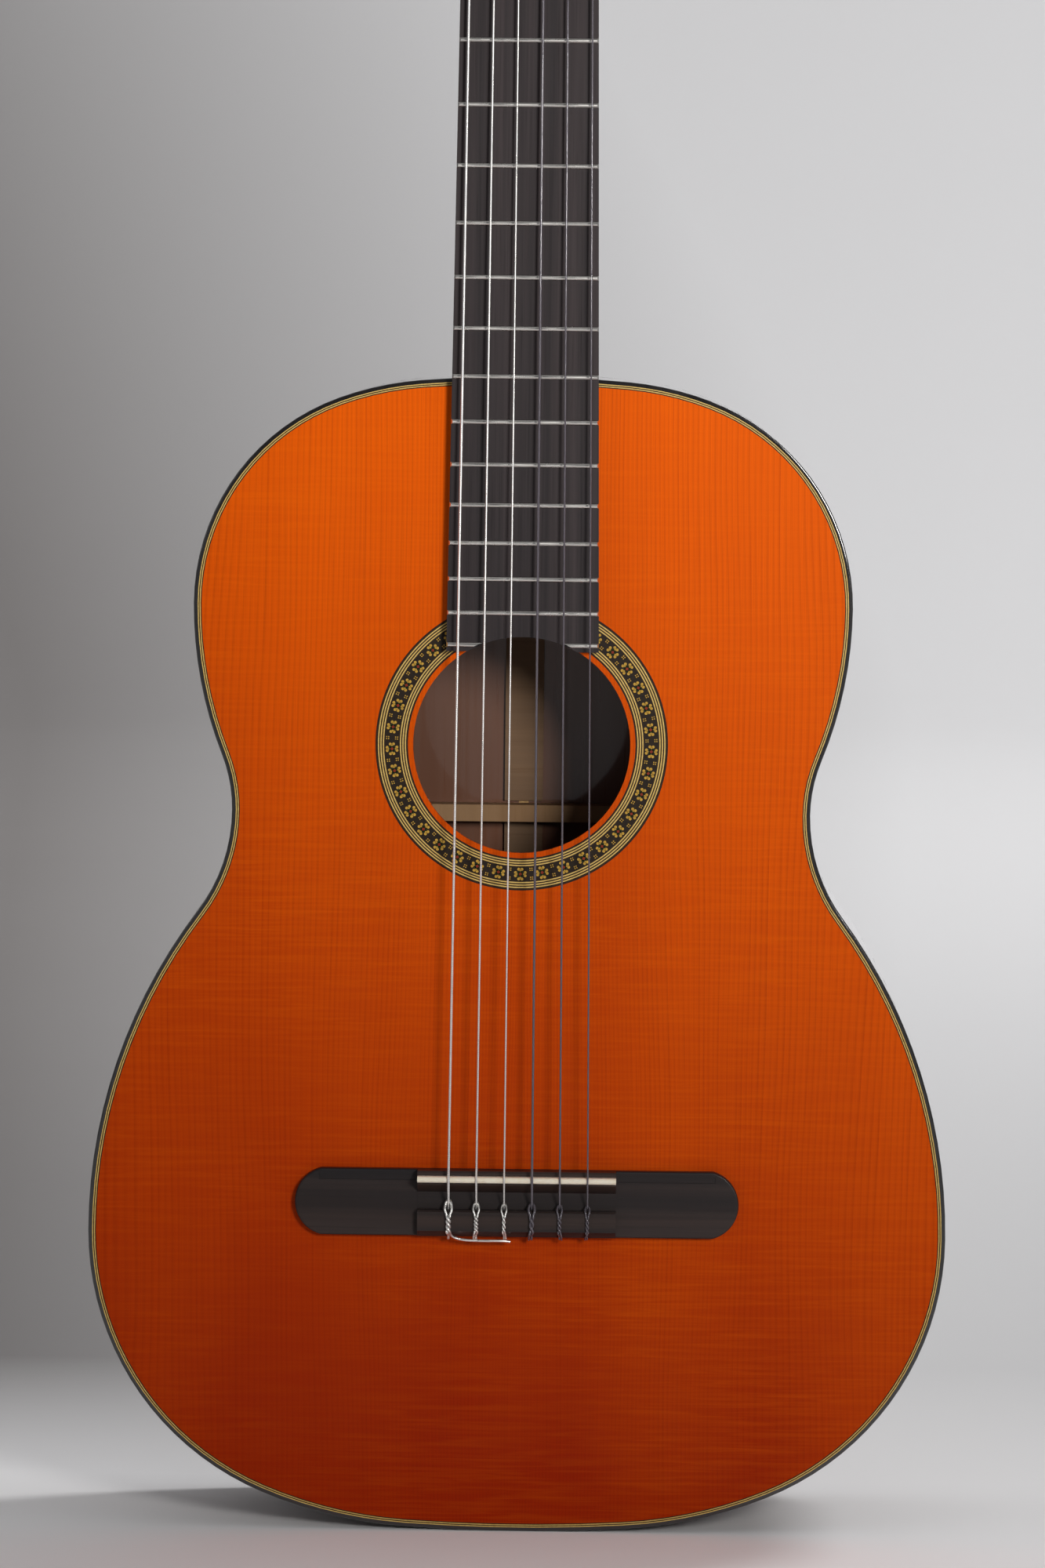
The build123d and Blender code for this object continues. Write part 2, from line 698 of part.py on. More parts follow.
with BuildPart() as neck_and_head:
    add(shaft.part)
    add(heel.part)
    add(seat, mode=Mode.SUBTRACT)
    add(tenon_stock(0))
    add(head_slab.part)
    add(slot_openings(-headplate_thickness, headstock_thickness + 1), mode=Mode.SUBTRACT)
    for level in roller_levels:
        for hand in (1, -1):
            rib_hole = centre_rib_width / 2 - journal_length - side_gap
            start = head_point(hand * rib_hole, level, tuner_depth)
            add(
                drill(start, outward * hand, journal_radius + run_gap, half_head),
                mode=Mode.SUBTRACT,
            )
    for level in screw_levels:
        for hand in (1, -1):
            start = head_point(hand * (half_head + 1), level, tuner_depth)
            add(
                drill(start, outward * -hand, plate_screw_radius + fit_gap, plate_screw_length + 1.2),
                mode=Mode.SUBTRACT,
            )
with BuildPart() as neck:
    add(neck_and_head.part)
    split(bisect_by=scarf, keep=Keep.BOTTOM)
with BuildPart() as headstock:
    add(neck_and_head.part)
    split(bisect_by=scarf, keep=Keep.TOP)
write(neck.part, "neck")
write(headstock.part, "headstock")

with BuildPart() as headplate:
    extrude(head_outline.sketch, amount=headplate_thickness)
    add(slot_openings(-headplate_thickness, headstock_thickness), mode=Mode.SUBTRACT)
    split(bisect_by=Plane.XY.offset(break_z), keep=Keep.TOP)  # its foot stands against the nut
write(headplate.part, "headplate")

with BuildPart() as heel_cap:
    extrude(heel_section(heel_bottom), amount=-heel_cap_thickness)
    add(seat, mode=Mode.SUBTRACT)
write(heel_cap.part, "heel_cap")

# === fingerboard and frets ===
fret_levels = [fret_z(number) for number in range(1, fret_count + 1)]
board_top = -fingerboard_thickness
split_fret_gap = 0.6  # between the last fret's ends and the curved end of the fingerboard

with BuildPart() as fingerboard:
    with BuildSketch(at_depth(0)):
        with BuildLine():
            Polyline(
                (-width_at(nut_z) / 2, nut_z),
                (width_at(nut_z) / 2, nut_z),
                (width_at(fingerboard_end) / 2, fingerboard_end),
                (-width_at(fingerboard_end) / 2, fingerboard_end),
                close=True,
            )
        make_face()
        with Locations((0, soundhole_z)):
            Circle(soundhole_radius, mode=Mode.SUBTRACT)
    extrude(amount=fingerboard_thickness)
    with BuildSketch(at_depth(board_top)):
        for level in fret_levels:
            with Locations((0, level)):
                Rectangle(2 * joint_width, tang_width + 2 * fit_gap)
    extrude(amount=-tang_depth - fit_gap, mode=Mode.SUBTRACT)
write(fingerboard.part, "fingerboard")

with BuildPart() as fret_wires:
    for level in fret_levels:
        with BuildSketch(Plane.YZ.offset(-joint_width)):
            with BuildLine():
                Line((board_top, level - fret_width / 2), (board_top, level + fret_width / 2))
                ThreePointArc(
                    (board_top, level + fret_width / 2),
                    (board_top - fret_height, level),
                    (board_top, level - fret_width / 2),
                )
            make_face()
            with Locations((board_top + tang_depth / 2, level)):
                Rectangle(tang_depth, tang_width)
        extrude(amount=2 * joint_width)
    for hand in (1, -1):  # bevelled ends, in line with the sides of the fingerboard
        side = Vector(hand * width_at(nut_z) / 2, board_top, nut_z)
        along_side = Vector(hand * (width_at(nut_z) - width_at(joint_z)) / 2, 0, nut_z - joint_z)
        for lean in (-hand * tan(radians(fret_bevel)), 0):
            outwards = along_side.cross(Vector(lean, -1, 0)) * hand
            split(bisect_by=Plane(side, x_dir=along_side, z_dir=outwards), keep=Keep.BOTTOM)
    with BuildSketch(at_depth(0)):
        with Locations((0, soundhole_z)):
            Circle(soundhole_radius + split_fret_gap)
    extrude(amount=2 * fingerboard_thickness, mode=Mode.SUBTRACT)
write(fret_wires.part, "frets")

# === strings: where each one runs ===
string_count = len(string_diameters)
shares = [0.5 - number / (string_count - 1) for number in range(string_count)]  # 1 treble, 6 bass
saddle_crest = saddle_thickness / 2
block_front = saddle_z + saddle_thickness / 2 + bridge_front_wall  # front edge of the bridge
block_back = block_front - bridge_depth
tie_front = block_back + tie_block_depth
tie_slope_depth, tie_back_height = 2.6, 5.0


def rod(start, end, radius):
    """Round bar between two points."""
    return drill(start, (end - start).normalized(), radius, (end - start).length)


def bead(centre, radius):
    return Pos(centre) * Sphere(radius, mode=Mode.PRIVATE)


knuckle = 1.08  # a corner's ball against its string's radius


def string_route(number):
    """Corner points of a string's centre line, from the tie on the bridge to the roller."""
    radius = string_diameters[number] / 2
    x_saddle = string_offset + shares[number] * string_spread_saddle
    x_nut = string_offset + shares[number] * string_spread_nut
    hole_z, hole_y = tie_front - radius, -string_hole_height
    saddle_y = -(string_height_saddle + radius)
    drop = atan2(hole_y - saddle_y, saddle_z - hole_z)
    bend_z = saddle_z - (saddle_crest + radius + string_gap) * tan(drop / 2)
    back_z = block_back - radius - string_gap
    loop_y = -(tie_block_height + radius + 2 * string_gap)
    roller = roller_of_string[number]
    hand = 1 if shares[number] > 0 else -1
    x_roller = hand * winding_places[roller]
    lift = roller_radius + radius + string_gap
    nut_point = Vector(x_nut, -(string_height_nut + radius), nut_z + nut_top_flat / 2)
    return [
        Vector(x_saddle, hole_y + 0.9, tie_front + radius + 0.3),
        Vector(x_saddle, loop_y, tie_front + radius + 0.3),
        Vector(x_saddle, loop_y, block_back + tie_slope_depth - 0.6),
        Vector(x_saddle, -tie_back_height - radius, back_z),
        Vector(x_saddle, hole_y, back_z),
        Vector(x_saddle, hole_y, hole_z),
        Vector(x_saddle, saddle_y, bend_z),
        nut_point,
        head_point(x_roller, roller_levels[roller], tuner_depth - lift),
    ]


def thick_path(points, radius):
    """Round bars along a path, joined by balls at its corners."""
    with BuildPart() as path:
        for first, last in zip(points, points[1:]):
            add(rod(first, last, radius))
        for corner in points[1:-1]:
            add(bead(corner, knuckle * radius))
    return path.part


# === nut, bridge and saddle ===
with BuildPart() as nut:
    with BuildSketch(Plane.YZ):
        with BuildLine():
            rear_height = nut_height - (nut_length - nut_top_flat) * tan(radians(nut_slope))
            Polyline(
                (0, nut_z),
                (-nut_height, nut_z),
                (-nut_height, nut_z + nut_top_flat),
                (-rear_height, break_z),
                (0, break_z),
                close=True,
            )
        make_face()
    extrude(amount=width_at(nut_z) / 2, both=True)
    for number in range(string_count):
        route = string_route(number)
        add(thick_path(route[-3:], string_diameters[number] / 2 + string_gap), mode=Mode.SUBTRACT)
write(nut.part, "nut")

wing_end = bridge_length / 2
with BuildPart() as bridge:
    with BuildSketch(at_depth(0)):
        with BuildLine():
            for hand in (1, -1):
                Line((0, block_front), (hand * (wing_end - wing_end_bulge), block_front))
                ThreePointArc(
                    (hand * (wing_end - wing_end_bulge), block_front),
                    (hand * wing_end, (block_front + block_back) / 2),
                    (hand * (wing_end - wing_end_bulge), block_back),
                )
                Line((0, block_back), (hand * (wing_end - wing_end_bulge), block_back))
        make_face()
    extrude(amount=wing_thickness)
    fillet(bridge.faces().sort_by(Axis.Y)[0].edges(), bridge_edge)
    with BuildSketch(Plane.YZ.offset(-bridge_block_length / 2)):
        with BuildLine():
            Polyline(
                (0, block_front),
                (-saddle_wall_height + bridge_edge, block_front),
                (-saddle_wall_height, block_front - bridge_edge),
                (-saddle_wall_height, saddle_z - saddle_crest - 1),
                (-channel_height, tie_front + channel_length),
                (-channel_height, tie_front),
                (-tie_block_height + bridge_edge, tie_front),
                (-tie_block_height, tie_front - bridge_edge),
                (-tie_block_height, block_back + tie_slope_depth),
                (-tie_back_height, block_back),
                (0, block_back),
                close=True,
            )
        make_face()
    extrude(amount=bridge_block_length)
    with BuildSketch(Plane.YZ.offset(-bridge_block_length)):
        with Locations((-saddle_wall_height, saddle_z)):
            Rectangle(2 * saddle_slot_depth, saddle_thickness + 2 * fit_gap)
    extrude(amount=2 * bridge_block_length, mode=Mode.SUBTRACT)
    for share in shares:
        start = Vector(string_offset + share * string_spread_saddle, -string_hole_height, tie_front + 1)
        add(drill(start, Vector(0, 0, -1), string_hole_radius, tie_block_depth + 2), mode=Mode.SUBTRACT)
write(bridge.part, "bridge")

saddle_top = string_height_saddle - string_gap
saddle_bottom = saddle_wall_height - saddle_slot_depth + fit_gap
with BuildPart() as saddle:
    with BuildSketch(Plane.YZ.offset(-bridge_block_length / 2 + fit_gap)):
        with BuildLine():
            Polyline(
                (saddle_crest - saddle_top, saddle_z - saddle_crest),
                (-saddle_bottom, saddle_z - saddle_crest),
                (-saddle_bottom, saddle_z + saddle_crest),
                (saddle_crest - saddle_top, saddle_z + saddle_crest),
            )
            ThreePointArc(
                (saddle_crest - saddle_top, saddle_z + saddle_crest),
                (-saddle_top, saddle_z),
                (saddle_crest - saddle_top, saddle_z - saddle_crest),
            )
        make_face()
    extrude(amount=bridge_block_length - 2 * fit_gap)
write(saddle.part, "saddle")


def winding(number):
    """Turns of a string round its roller, side by side from where the string arrives at its front."""
    radius = string_diameters[number] / 2
    arrival = string_route(number)[-1]
    hand = 1 if shares[number] > 0 else -1
    level = roller_levels[roller_of_string[number]]
    section_plane = Plane(arrival, x_dir=outward * -hand, z_dir=along_head)
    with BuildPart() as turns:
        with BuildSketch(section_plane):
            for turn in range(winding_turns):
                with Locations((turn * turn_pitch * 2 * radius, 0)):
                    Circle(radius)
        revolve(axis=Axis(head_point(0, level, tuner_depth), outward))
        add(bead(arrival, knuckle * radius))
    return turns.part


def string_solid(number):
    with BuildPart() as string:
        add(thick_path(string_route(number), string_diameters[number] / 2))
        add(winding(number))
    return string.part


with BuildPart() as treble_strings:
    for number in range(0, 3):
        add(string_solid(number))
with BuildPart() as bass_strings:
    for number in range(3, 6):
        add(string_solid(number))
write(treble_strings.part, "treble_strings")
write(bass_strings.part, "bass_strings")

# === tuning machines: one plate with three worm drives on each side of the headstock ===
# Drawn on the treble side and mirrored for the bass side. A tuner's own frame sits on its gear's
# axis: x along the roller, outwards; y to the back of the headstock; z up the headstock.
tooth_pitch = pi * gear_module
worm_length = worm_turns * tooth_pitch
addendum, dedendum = gear_module, 1.25 * gear_module
worm_lead_angle = atan(tooth_pitch / (2 * pi * worm_pitch_radius))
plate_face = half_head + plate_thickness
gear_middle = plate_face + worm_pitch_radius + addendum + side_gap
gear_inside, gear_outside = gear_middle - gear_width / 2, gear_middle + gear_width / 2
lug_middle = worm_length / 2 + side_gap / 2 + lug_thickness / 2  # each side of the gear's axis
button_start = headstock_thickness - tuner_depth + button_standoff
outer_wall = slot_centre + slot_width / 2


def tooth_halves(root, tip):
    """Half thicknesses of a straight-flanked tooth, below and above its pitch line."""
    half, flank = tooth_share * tooth_pitch / 2, tan(radians(flank_angle))
    return half + root * flank, half - tip * flank


def make_gear():
    """Worm wheel about x, with twisted teeth and a bore for the roller's stub."""
    root_radius, sunk = gear_pitch_radius - dedendum, 0.4
    root_half, tip_half = tooth_halves(dedendum + sunk, addendum)
    twist = degrees(gear_width / 2 * tan(worm_lead_angle) / gear_pitch_radius)
    with BuildPart() as tooth:
        for end in (-1, 1):
            with BuildSketch(Plane.YZ.offset(end * gear_width / 2)):
                with Locations(Location((0, 0), end * twist)):
                    Polygon(
                        (-root_half, root_radius - sunk),
                        (root_half, root_radius - sunk),
                        (tip_half, gear_pitch_radius + addendum),
                        (-tip_half, gear_pitch_radius + addendum),
                        align=None,
                    )
        loft(ruled=True)
    with BuildPart() as gear:
        with BuildSketch(Plane.YZ.offset(-gear_width / 2)):
            Circle(root_radius)
        extrude(amount=gear_width)
        for number in range(gear_teeth):
            add(tooth.part.rotate(Axis.X, (number + 0.5) * 360 / gear_teeth))
        with BuildSketch(Plane.YZ.offset(-gear_width)):
            Circle(stub_radius + fit_gap)
        extrude(amount=2 * gear_width, mode=Mode.SUBTRACT)
    return gear.part


def worm_rod(start, end, radius):
    """Round bar on the worm's axis, between two places along it."""
    return rod(Vector(0, start, -worm_offset), Vector(0, end, -worm_offset), radius)


def make_worm():
    """Screw thread below the gear, on the shaft that carries the button."""
    foot = Plane((0, -worm_length / 2, -worm_offset), x_dir=(0, 0, 1), z_dir=(0, 1, 0))
    path = foot.location * Helix(tooth_pitch, worm_length, worm_pitch_radius, mode=Mode.PRIVATE)
    sunk = 0.3
    root_half, tip_half = tooth_halves(dedendum + sunk, addendum)
    with BuildPart() as worm:
        with BuildSketch(Plane(path @ 0, x_dir=(0, 0, 1), z_dir=path % 0)):
            Polygon(
                (-dedendum - sunk, -root_half),
                (addendum, -tip_half),
                (addendum, tip_half),
                (-dedendum - sunk, root_half),
                align=None,
            )
        sweep(path=path, is_frenet=True)
        add(worm_rod(-worm_length / 2, worm_length / 2, worm_pitch_radius - dedendum))
        add(
            worm_rod(-worm_length / 2, worm_length / 2, worm_pitch_radius + 2 * addendum),
            mode=Mode.INTERSECT,
        )
        shaft_foot = -lug_middle - lug_thickness / 2 - 0.3
        add(worm_rod(shaft_foot, button_start + button_grip, worm_shaft_radius))
    return worm.part


def make_button():
    """Knob pressed on the end of the worm's shaft."""
    half, top = button_width / 2, button_start + button_length
    shoulder = button_start + 0.62 * button_length
    button_plane = Plane((0, 0, -worm_offset), x_dir=(0, 0, 1), z_dir=(-1, 0, 0))
    with BuildPart() as button:
        with BuildSketch(button_plane):
            with BuildLine():
                for hand in (1, -1):
                    Line((0, button_start), (hand * 0.5 * half, button_start))
                    ThreePointArc(
                        (hand * 0.5 * half, button_start),
                        (hand * 0.90 * half, (button_start + shoulder) / 2 - 0.8),
                        (hand * half, shoulder),
                    )
                    Spline(
                        (hand * half, shoulder),
                        (0, top),
                        tangents=((-hand * 0.1, 1), (-hand, 0)),
                    )
            make_face()
        extrude(amount=button_thickness / 2, both=True)
        broad_faces = button.faces().filter_by(Axis.X)
        fillet(broad_faces.edges(), button_rounding)
        add(worm_rod(button_start - collar_length, button_start + 1, collar_radius))
        add(
            worm_rod(
                button_start - collar_length - 1, button_start + button_grip, worm_shaft_radius + fit_gap
            ),
            mode=Mode.SUBTRACT,
        )
    return button.part


def slotted_screw(seat, radius, length, head_radius):
    """Screw along x with its head outside a seat and its shank inside it."""
    with BuildPart() as screw:
        add(rod(seat, seat + outward * screw_head_height, head_radius))
        add(rod(seat - outward * length, seat, radius))
        with Locations(seat + outward * screw_head_height):
            Box(2 * screw_slot, 4 * head_radius, screw_slot, mode=Mode.SUBTRACT)
    return screw.part


def make_roller(level, place):
    """Roller across a slot: journals in the middle rib and the side, and a stub for the gear."""
    steps = [
        (centre_rib_width / 2 - journal_length, centre_rib_width / 2 + side_gap, journal_radius),
        (centre_rib_width / 2 + side_gap, outer_wall - side_gap, roller_radius),
        (outer_wall - side_gap, gear_inside, journal_radius),
        (gear_inside, gear_outside, stub_radius),
    ]
    with BuildPart() as roller:
        for start, end, radius in steps:
            add(rod(head_point(start, level, tuner_depth), head_point(end, level, tuner_depth), radius))
        screw_foot = head_point(gear_outside - gear_screw_length - 0.3, level, tuner_depth)
        add(
            drill(screw_foot, outward, gear_screw_radius + fit_gap, 2 * gear_screw_length),
            mode=Mode.SUBTRACT,
        )
        string_hole = head_point(place, level, tuner_depth - 2 * roller_radius)
        add(drill(string_hole, behind_head, string_hole_radius, 4 * roller_radius), mode=Mode.SUBTRACT)
    return roller.part


with BuildPart() as tuner_plate:
    side_plane = Plane(head_point(half_head, 0, tuner_depth), x_dir=along_head, z_dir=(1, 0, 0))
    plate_start, plate_end = screw_levels[0] - plate_end_margin, screw_levels[-1] + plate_end_margin
    with BuildSketch(side_plane):
        with Locations(((plate_start + plate_end) / 2, 0)):
            RectangleRounded(plate_end - plate_start, plate_width, plate_end_margin)
        for level in roller_levels:
            with Locations((level, 0)):
                Circle(journal_radius + run_gap, mode=Mode.SUBTRACT)
        for level in screw_levels:
            with Locations((level, 0)):
                Circle(plate_screw_radius + fit_gap, mode=Mode.SUBTRACT)
    extrude(amount=plate_thickness)
    for level in roller_levels:
        for end in (-1, 1):
            foot_depth = tuner_depth + end * lug_middle - lug_thickness / 2
            lug_plane = Plane(
                head_point(gear_middle, level - worm_offset, foot_depth), x_dir=(1, 0, 0), z_dir=behind_head
            )
            reach = gear_middle - half_head - plate_thickness
            with BuildSketch(lug_plane):
                Circle(lug_width / 2)
                with Locations((-reach / 2, 0)):
                    Rectangle(reach, lug_width)
                Circle(worm_shaft_radius + run_gap, mode=Mode.SUBTRACT)
            extrude(amount=lug_thickness)

with BuildPart() as plate_screws:
    for level in screw_levels:
        seat_point = head_point(half_head + plate_thickness, level, tuner_depth)
        screw_reach = plate_screw_length + plate_thickness
        add(slotted_screw(seat_point, plate_screw_radius, screw_reach, plate_screw_head))

write(tuner_plate.part, "treble_tuner_plate")
write(tuner_plate.part.mirror(Plane.YZ), "bass_tuner_plate")
with BuildPart() as tuner_screws:
    add(plate_screws.part)
    add(plate_screws.part.mirror(Plane.YZ))
write(tuner_screws.part, "tuner_screws")

gear_shape, worm_shape, button_shape = make_gear(), make_worm(), make_button()
for number in range(string_count):
    roller = roller_of_string[number]
    level = roller_levels[roller]
    own_frame = Plane(head_point(gear_middle, level, tuner_depth), x_dir=(1, 0, 0), z_dir=along_head)
    place = own_frame.location
    gear_seat = head_point(gear_outside, level, tuner_depth)
    with BuildPart() as gear:
        add(place * gear_shape)
        add(slotted_screw(gear_seat, gear_screw_radius, gear_screw_length, gear_screw_head))
    pieces = {
        "roller": make_roller(level, winding_places[roller]),
        "gear": gear.part,
        "worm": place * worm_shape,
        "button": place * button_shape,
    }
    for name, piece in pieces.items():
        write(piece if shares[number] > 0 else piece.mirror(Plane.YZ), f"tuner_{number + 1}_{name}")

if len(written) > 60:
    raise ValueError("too many nodes")
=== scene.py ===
import bmesh
import bpy
from math import atan2, cos, pi, radians, sin, sqrt, tan
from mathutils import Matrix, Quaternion, Vector


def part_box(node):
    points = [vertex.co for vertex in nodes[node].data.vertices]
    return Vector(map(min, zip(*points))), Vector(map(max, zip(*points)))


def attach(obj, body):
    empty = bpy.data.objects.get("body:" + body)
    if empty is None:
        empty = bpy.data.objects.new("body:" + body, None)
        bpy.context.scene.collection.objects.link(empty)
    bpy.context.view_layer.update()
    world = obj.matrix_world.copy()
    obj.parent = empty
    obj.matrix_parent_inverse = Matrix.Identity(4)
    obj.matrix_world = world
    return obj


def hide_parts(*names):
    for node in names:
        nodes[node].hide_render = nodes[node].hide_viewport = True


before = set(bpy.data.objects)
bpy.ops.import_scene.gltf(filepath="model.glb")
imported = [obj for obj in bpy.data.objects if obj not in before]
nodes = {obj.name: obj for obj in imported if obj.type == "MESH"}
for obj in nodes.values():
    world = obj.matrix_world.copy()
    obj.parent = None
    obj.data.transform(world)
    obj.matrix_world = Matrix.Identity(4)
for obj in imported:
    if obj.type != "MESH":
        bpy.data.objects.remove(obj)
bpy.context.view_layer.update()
mm = 0.001
print("frame loaded:", len(nodes), "pieces")


def lowCorner(node):
    return Vector(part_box(node)[0])


def highCorner(node):
    return Vector(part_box(node)[1])


def centreOf(node):
    return (lowCorner(node) + highCorner(node)) / 2


def newObject(name, mesh, material, body="guitar"):
    thing = bpy.data.objects.new(name, mesh)
    bpy.context.scene.collection.objects.link(thing)
    if material:
        mesh.materials.append(material)
    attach(thing, body)
    return thing


def paint(node, material):
    thing = nodes[node]
    thing.data.materials.clear()
    thing.data.materials.append(material)


class Shader:
    # one material and the few node moves that all of them use

    def __init__(
        self, name, roughness=0.5, metallic=0.0, coat=0.0, coatRoughness=0.05, specular=0.5
    ):
        self.material = bpy.data.materials.new(name)
        self.material.use_nodes = True
        self.tree = self.material.node_tree
        self.tree.nodes.clear()
        self.surface = self.node("ShaderNodeBsdfPrincipled")
        output = self.node("ShaderNodeOutputMaterial")
        self.join(self.surface.outputs["BSDF"], output.inputs["Surface"])
        self.surface.inputs["Roughness"].default_value = roughness
        self.surface.inputs["Metallic"].default_value = metallic
        self.surface.inputs["Coat Weight"].default_value = coat
        self.surface.inputs["Coat Roughness"].default_value = coatRoughness
        self.surface.inputs["Specular IOR Level"].default_value = specular
        self.place = self.node("ShaderNodeTexCoord").outputs["Object"]

    def node(self, kind, **settings):
        made = self.tree.nodes.new(kind)
        for key, value in settings.items():
            setattr(made, key, value)
        return made

    def join(self, source, target):
        self.tree.links.new(source, target)

    def math(self, operation, first, second=0.0, clamp=False):
        made = self.node("ShaderNodeMath", operation=operation, use_clamp=clamp)
        for socket, value in zip(made.inputs, (first, second)):
            if isinstance(value, (int, float)):
                socket.default_value = value
            else:
                self.join(value, socket)
        return made.outputs[0]

    def stretched(self, scale, shift=(0, 0, 0)):
        made = self.node("ShaderNodeMapping")
        made.inputs["Scale"].default_value = scale
        made.inputs["Location"].default_value = shift
        self.join(self.place, made.inputs["Vector"])
        return made.outputs[0]

    def noise(self, vector, detail=4.0, roughness=0.55, distortion=0.0):
        made = self.node("ShaderNodeTexNoise")
        made.inputs["Scale"].default_value = 1.0
        made.inputs["Detail"].default_value = detail
        made.inputs["Roughness"].default_value = roughness
        made.inputs["Distortion"].default_value = distortion
        self.join(vector, made.inputs["Vector"])
        return made.outputs["Fac"]

    def cells(self, vector, feature="F1"):
        made = self.node("ShaderNodeTexVoronoi", feature=feature)
        made.inputs["Scale"].default_value = 1.0
        self.join(vector, made.inputs["Vector"])
        return made

    def ramp(self, value, stops):
        made = self.node("ShaderNodeValToRGB")
        points = made.color_ramp.elements
        while len(points) < len(stops):
            points.new(0.5)
        for point, (position, color) in zip(points, stops):
            point.position = position
            if isinstance(color, (int, float)):
                color = (color, color, color)
            point.color = (*color, 1.0)
        self.join(value, made.inputs["Fac"])
        return made.outputs["Color"]

    def remap(self, value, low, high, newLow=0.0, newHigh=1.0):
        made = self.node("ShaderNodeMapRange")
        made.inputs["From Min"].default_value = low
        made.inputs["From Max"].default_value = high
        made.inputs["To Min"].default_value = newLow
        made.inputs["To Max"].default_value = newHigh
        self.join(value, made.inputs["Value"])
        return made.outputs["Result"]

    def mix(self, first, second, share, blend="MIX"):
        made = self.node("ShaderNodeMix", data_type="RGBA", blend_type=blend)
        for name, value in (("Factor", share), ("A", first), ("B", second)):
            socket = [s for s in made.inputs if s.name == name and s.enabled][0]
            if isinstance(value, tuple):
                socket.default_value = (*value, 1.0)
            elif isinstance(value, (int, float)):
                socket.default_value = value
            else:
                self.join(value, socket)
        return [s for s in made.outputs if s.enabled][0]

    def color(self, value):
        self.join(value, self.surface.inputs["Base Color"])

    def rough(self, value):
        self.join(value, self.surface.inputs["Roughness"])

    def bump(self, height, depth, strength=1.0):
        made = self.node("ShaderNodeBump")
        made.inputs["Strength"].default_value = strength
        made.inputs["Distance"].default_value = depth
        self.join(height, made.inputs["Height"])
        self.join(made.outputs["Normal"], self.surface.inputs["Normal"])
        return made.outputs["Normal"]

    def axis(self, letter):
        made = self.node("ShaderNodeSeparateXYZ")
        self.join(self.place, made.inputs[0])
        return made.outputs[letter]

    def vector(self, x=0.0, y=0.0, z=0.0):
        made = self.node("ShaderNodeCombineXYZ")
        for socket, value in zip(made.inputs, (x, y, z)):
            if isinstance(value, (int, float)):
                socket.default_value = value
            else:
                self.join(value, socket)
        return made.outputs[0]


studio = {
    "cameraPlace": (0.032, -2.6, 0.503),
    "cameraAim": (0.0005, 0.0, 0.3063),
    "cameraRoll": 0.62,
    "lens": 147.8,
    "paperRight": (0.74, 0.735, 0.74),
    "paperFloor": (0.95, 0.94, 0.945),
    "paperLeft": (0.24, 0.225, 0.22),
    "sweepStart": 5.0,  # where the paper starts to curve up behind the guitar
    "sweepRadius": 3.0,
    "paperFront": -12.0,
    "paperTop": 9.0,
    "paperHalfWidth": 16.0,
    "eyeSetback": 3.0,  # the shade's edge fans out from this far in front of the guitar
    "shadeEdges": (-0.08, 0.05),
    "shadeRise": 0.055,
    "floorEdges": (0.42, 0.12),  # where the backdrop's tone gives way to the floor's
    "skySides": (0.62, 0.62, 0.63),
    "skyFront": (0.14, 0.14, 0.145),  # the dark half of the room, which the varnish mirrors
    "skyEdges": (0.06, 0.42),
    "skyLight": 0.62,
}


def addCamera():
    data = bpy.data.cameras.new("camera")
    data.lens = studio["lens"]
    data.sensor_width = 36.0
    camera = bpy.data.objects.new("camera", data)
    bpy.context.scene.collection.objects.link(camera)
    place, aim = Vector(studio["cameraPlace"]), Vector(studio["cameraAim"])
    facing = (aim - place).to_track_quat("-Z", "Y")
    camera.rotation_mode = "QUATERNION"
    camera.rotation_quaternion = facing @ Quaternion((0, 0, 1), radians(studio["cameraRoll"]))
    camera.location = place
    bpy.context.scene.camera = camera
    bpy.context.scene.view_settings.view_transform = "Standard"


lights = [
    # name, place, aim, size, spread, watts, color
    ("key", (0.66, -1.6, 0.66), (0.07, 0, 0.60), 0.42, 58, 3.0, (1.0, 0.985, 0.965)),
    ("fill", (-1.9, -1.5, 1.1), (0, 0, 0.45), 1.3, 120, 1.2, (0.97, 0.98, 1.0)),
    ("back", (3.0, 2.6, 4.2), (0.4, 6.0, 0.9), 2.6, 180, 245, (1.0, 1.0, 1.0)),
]


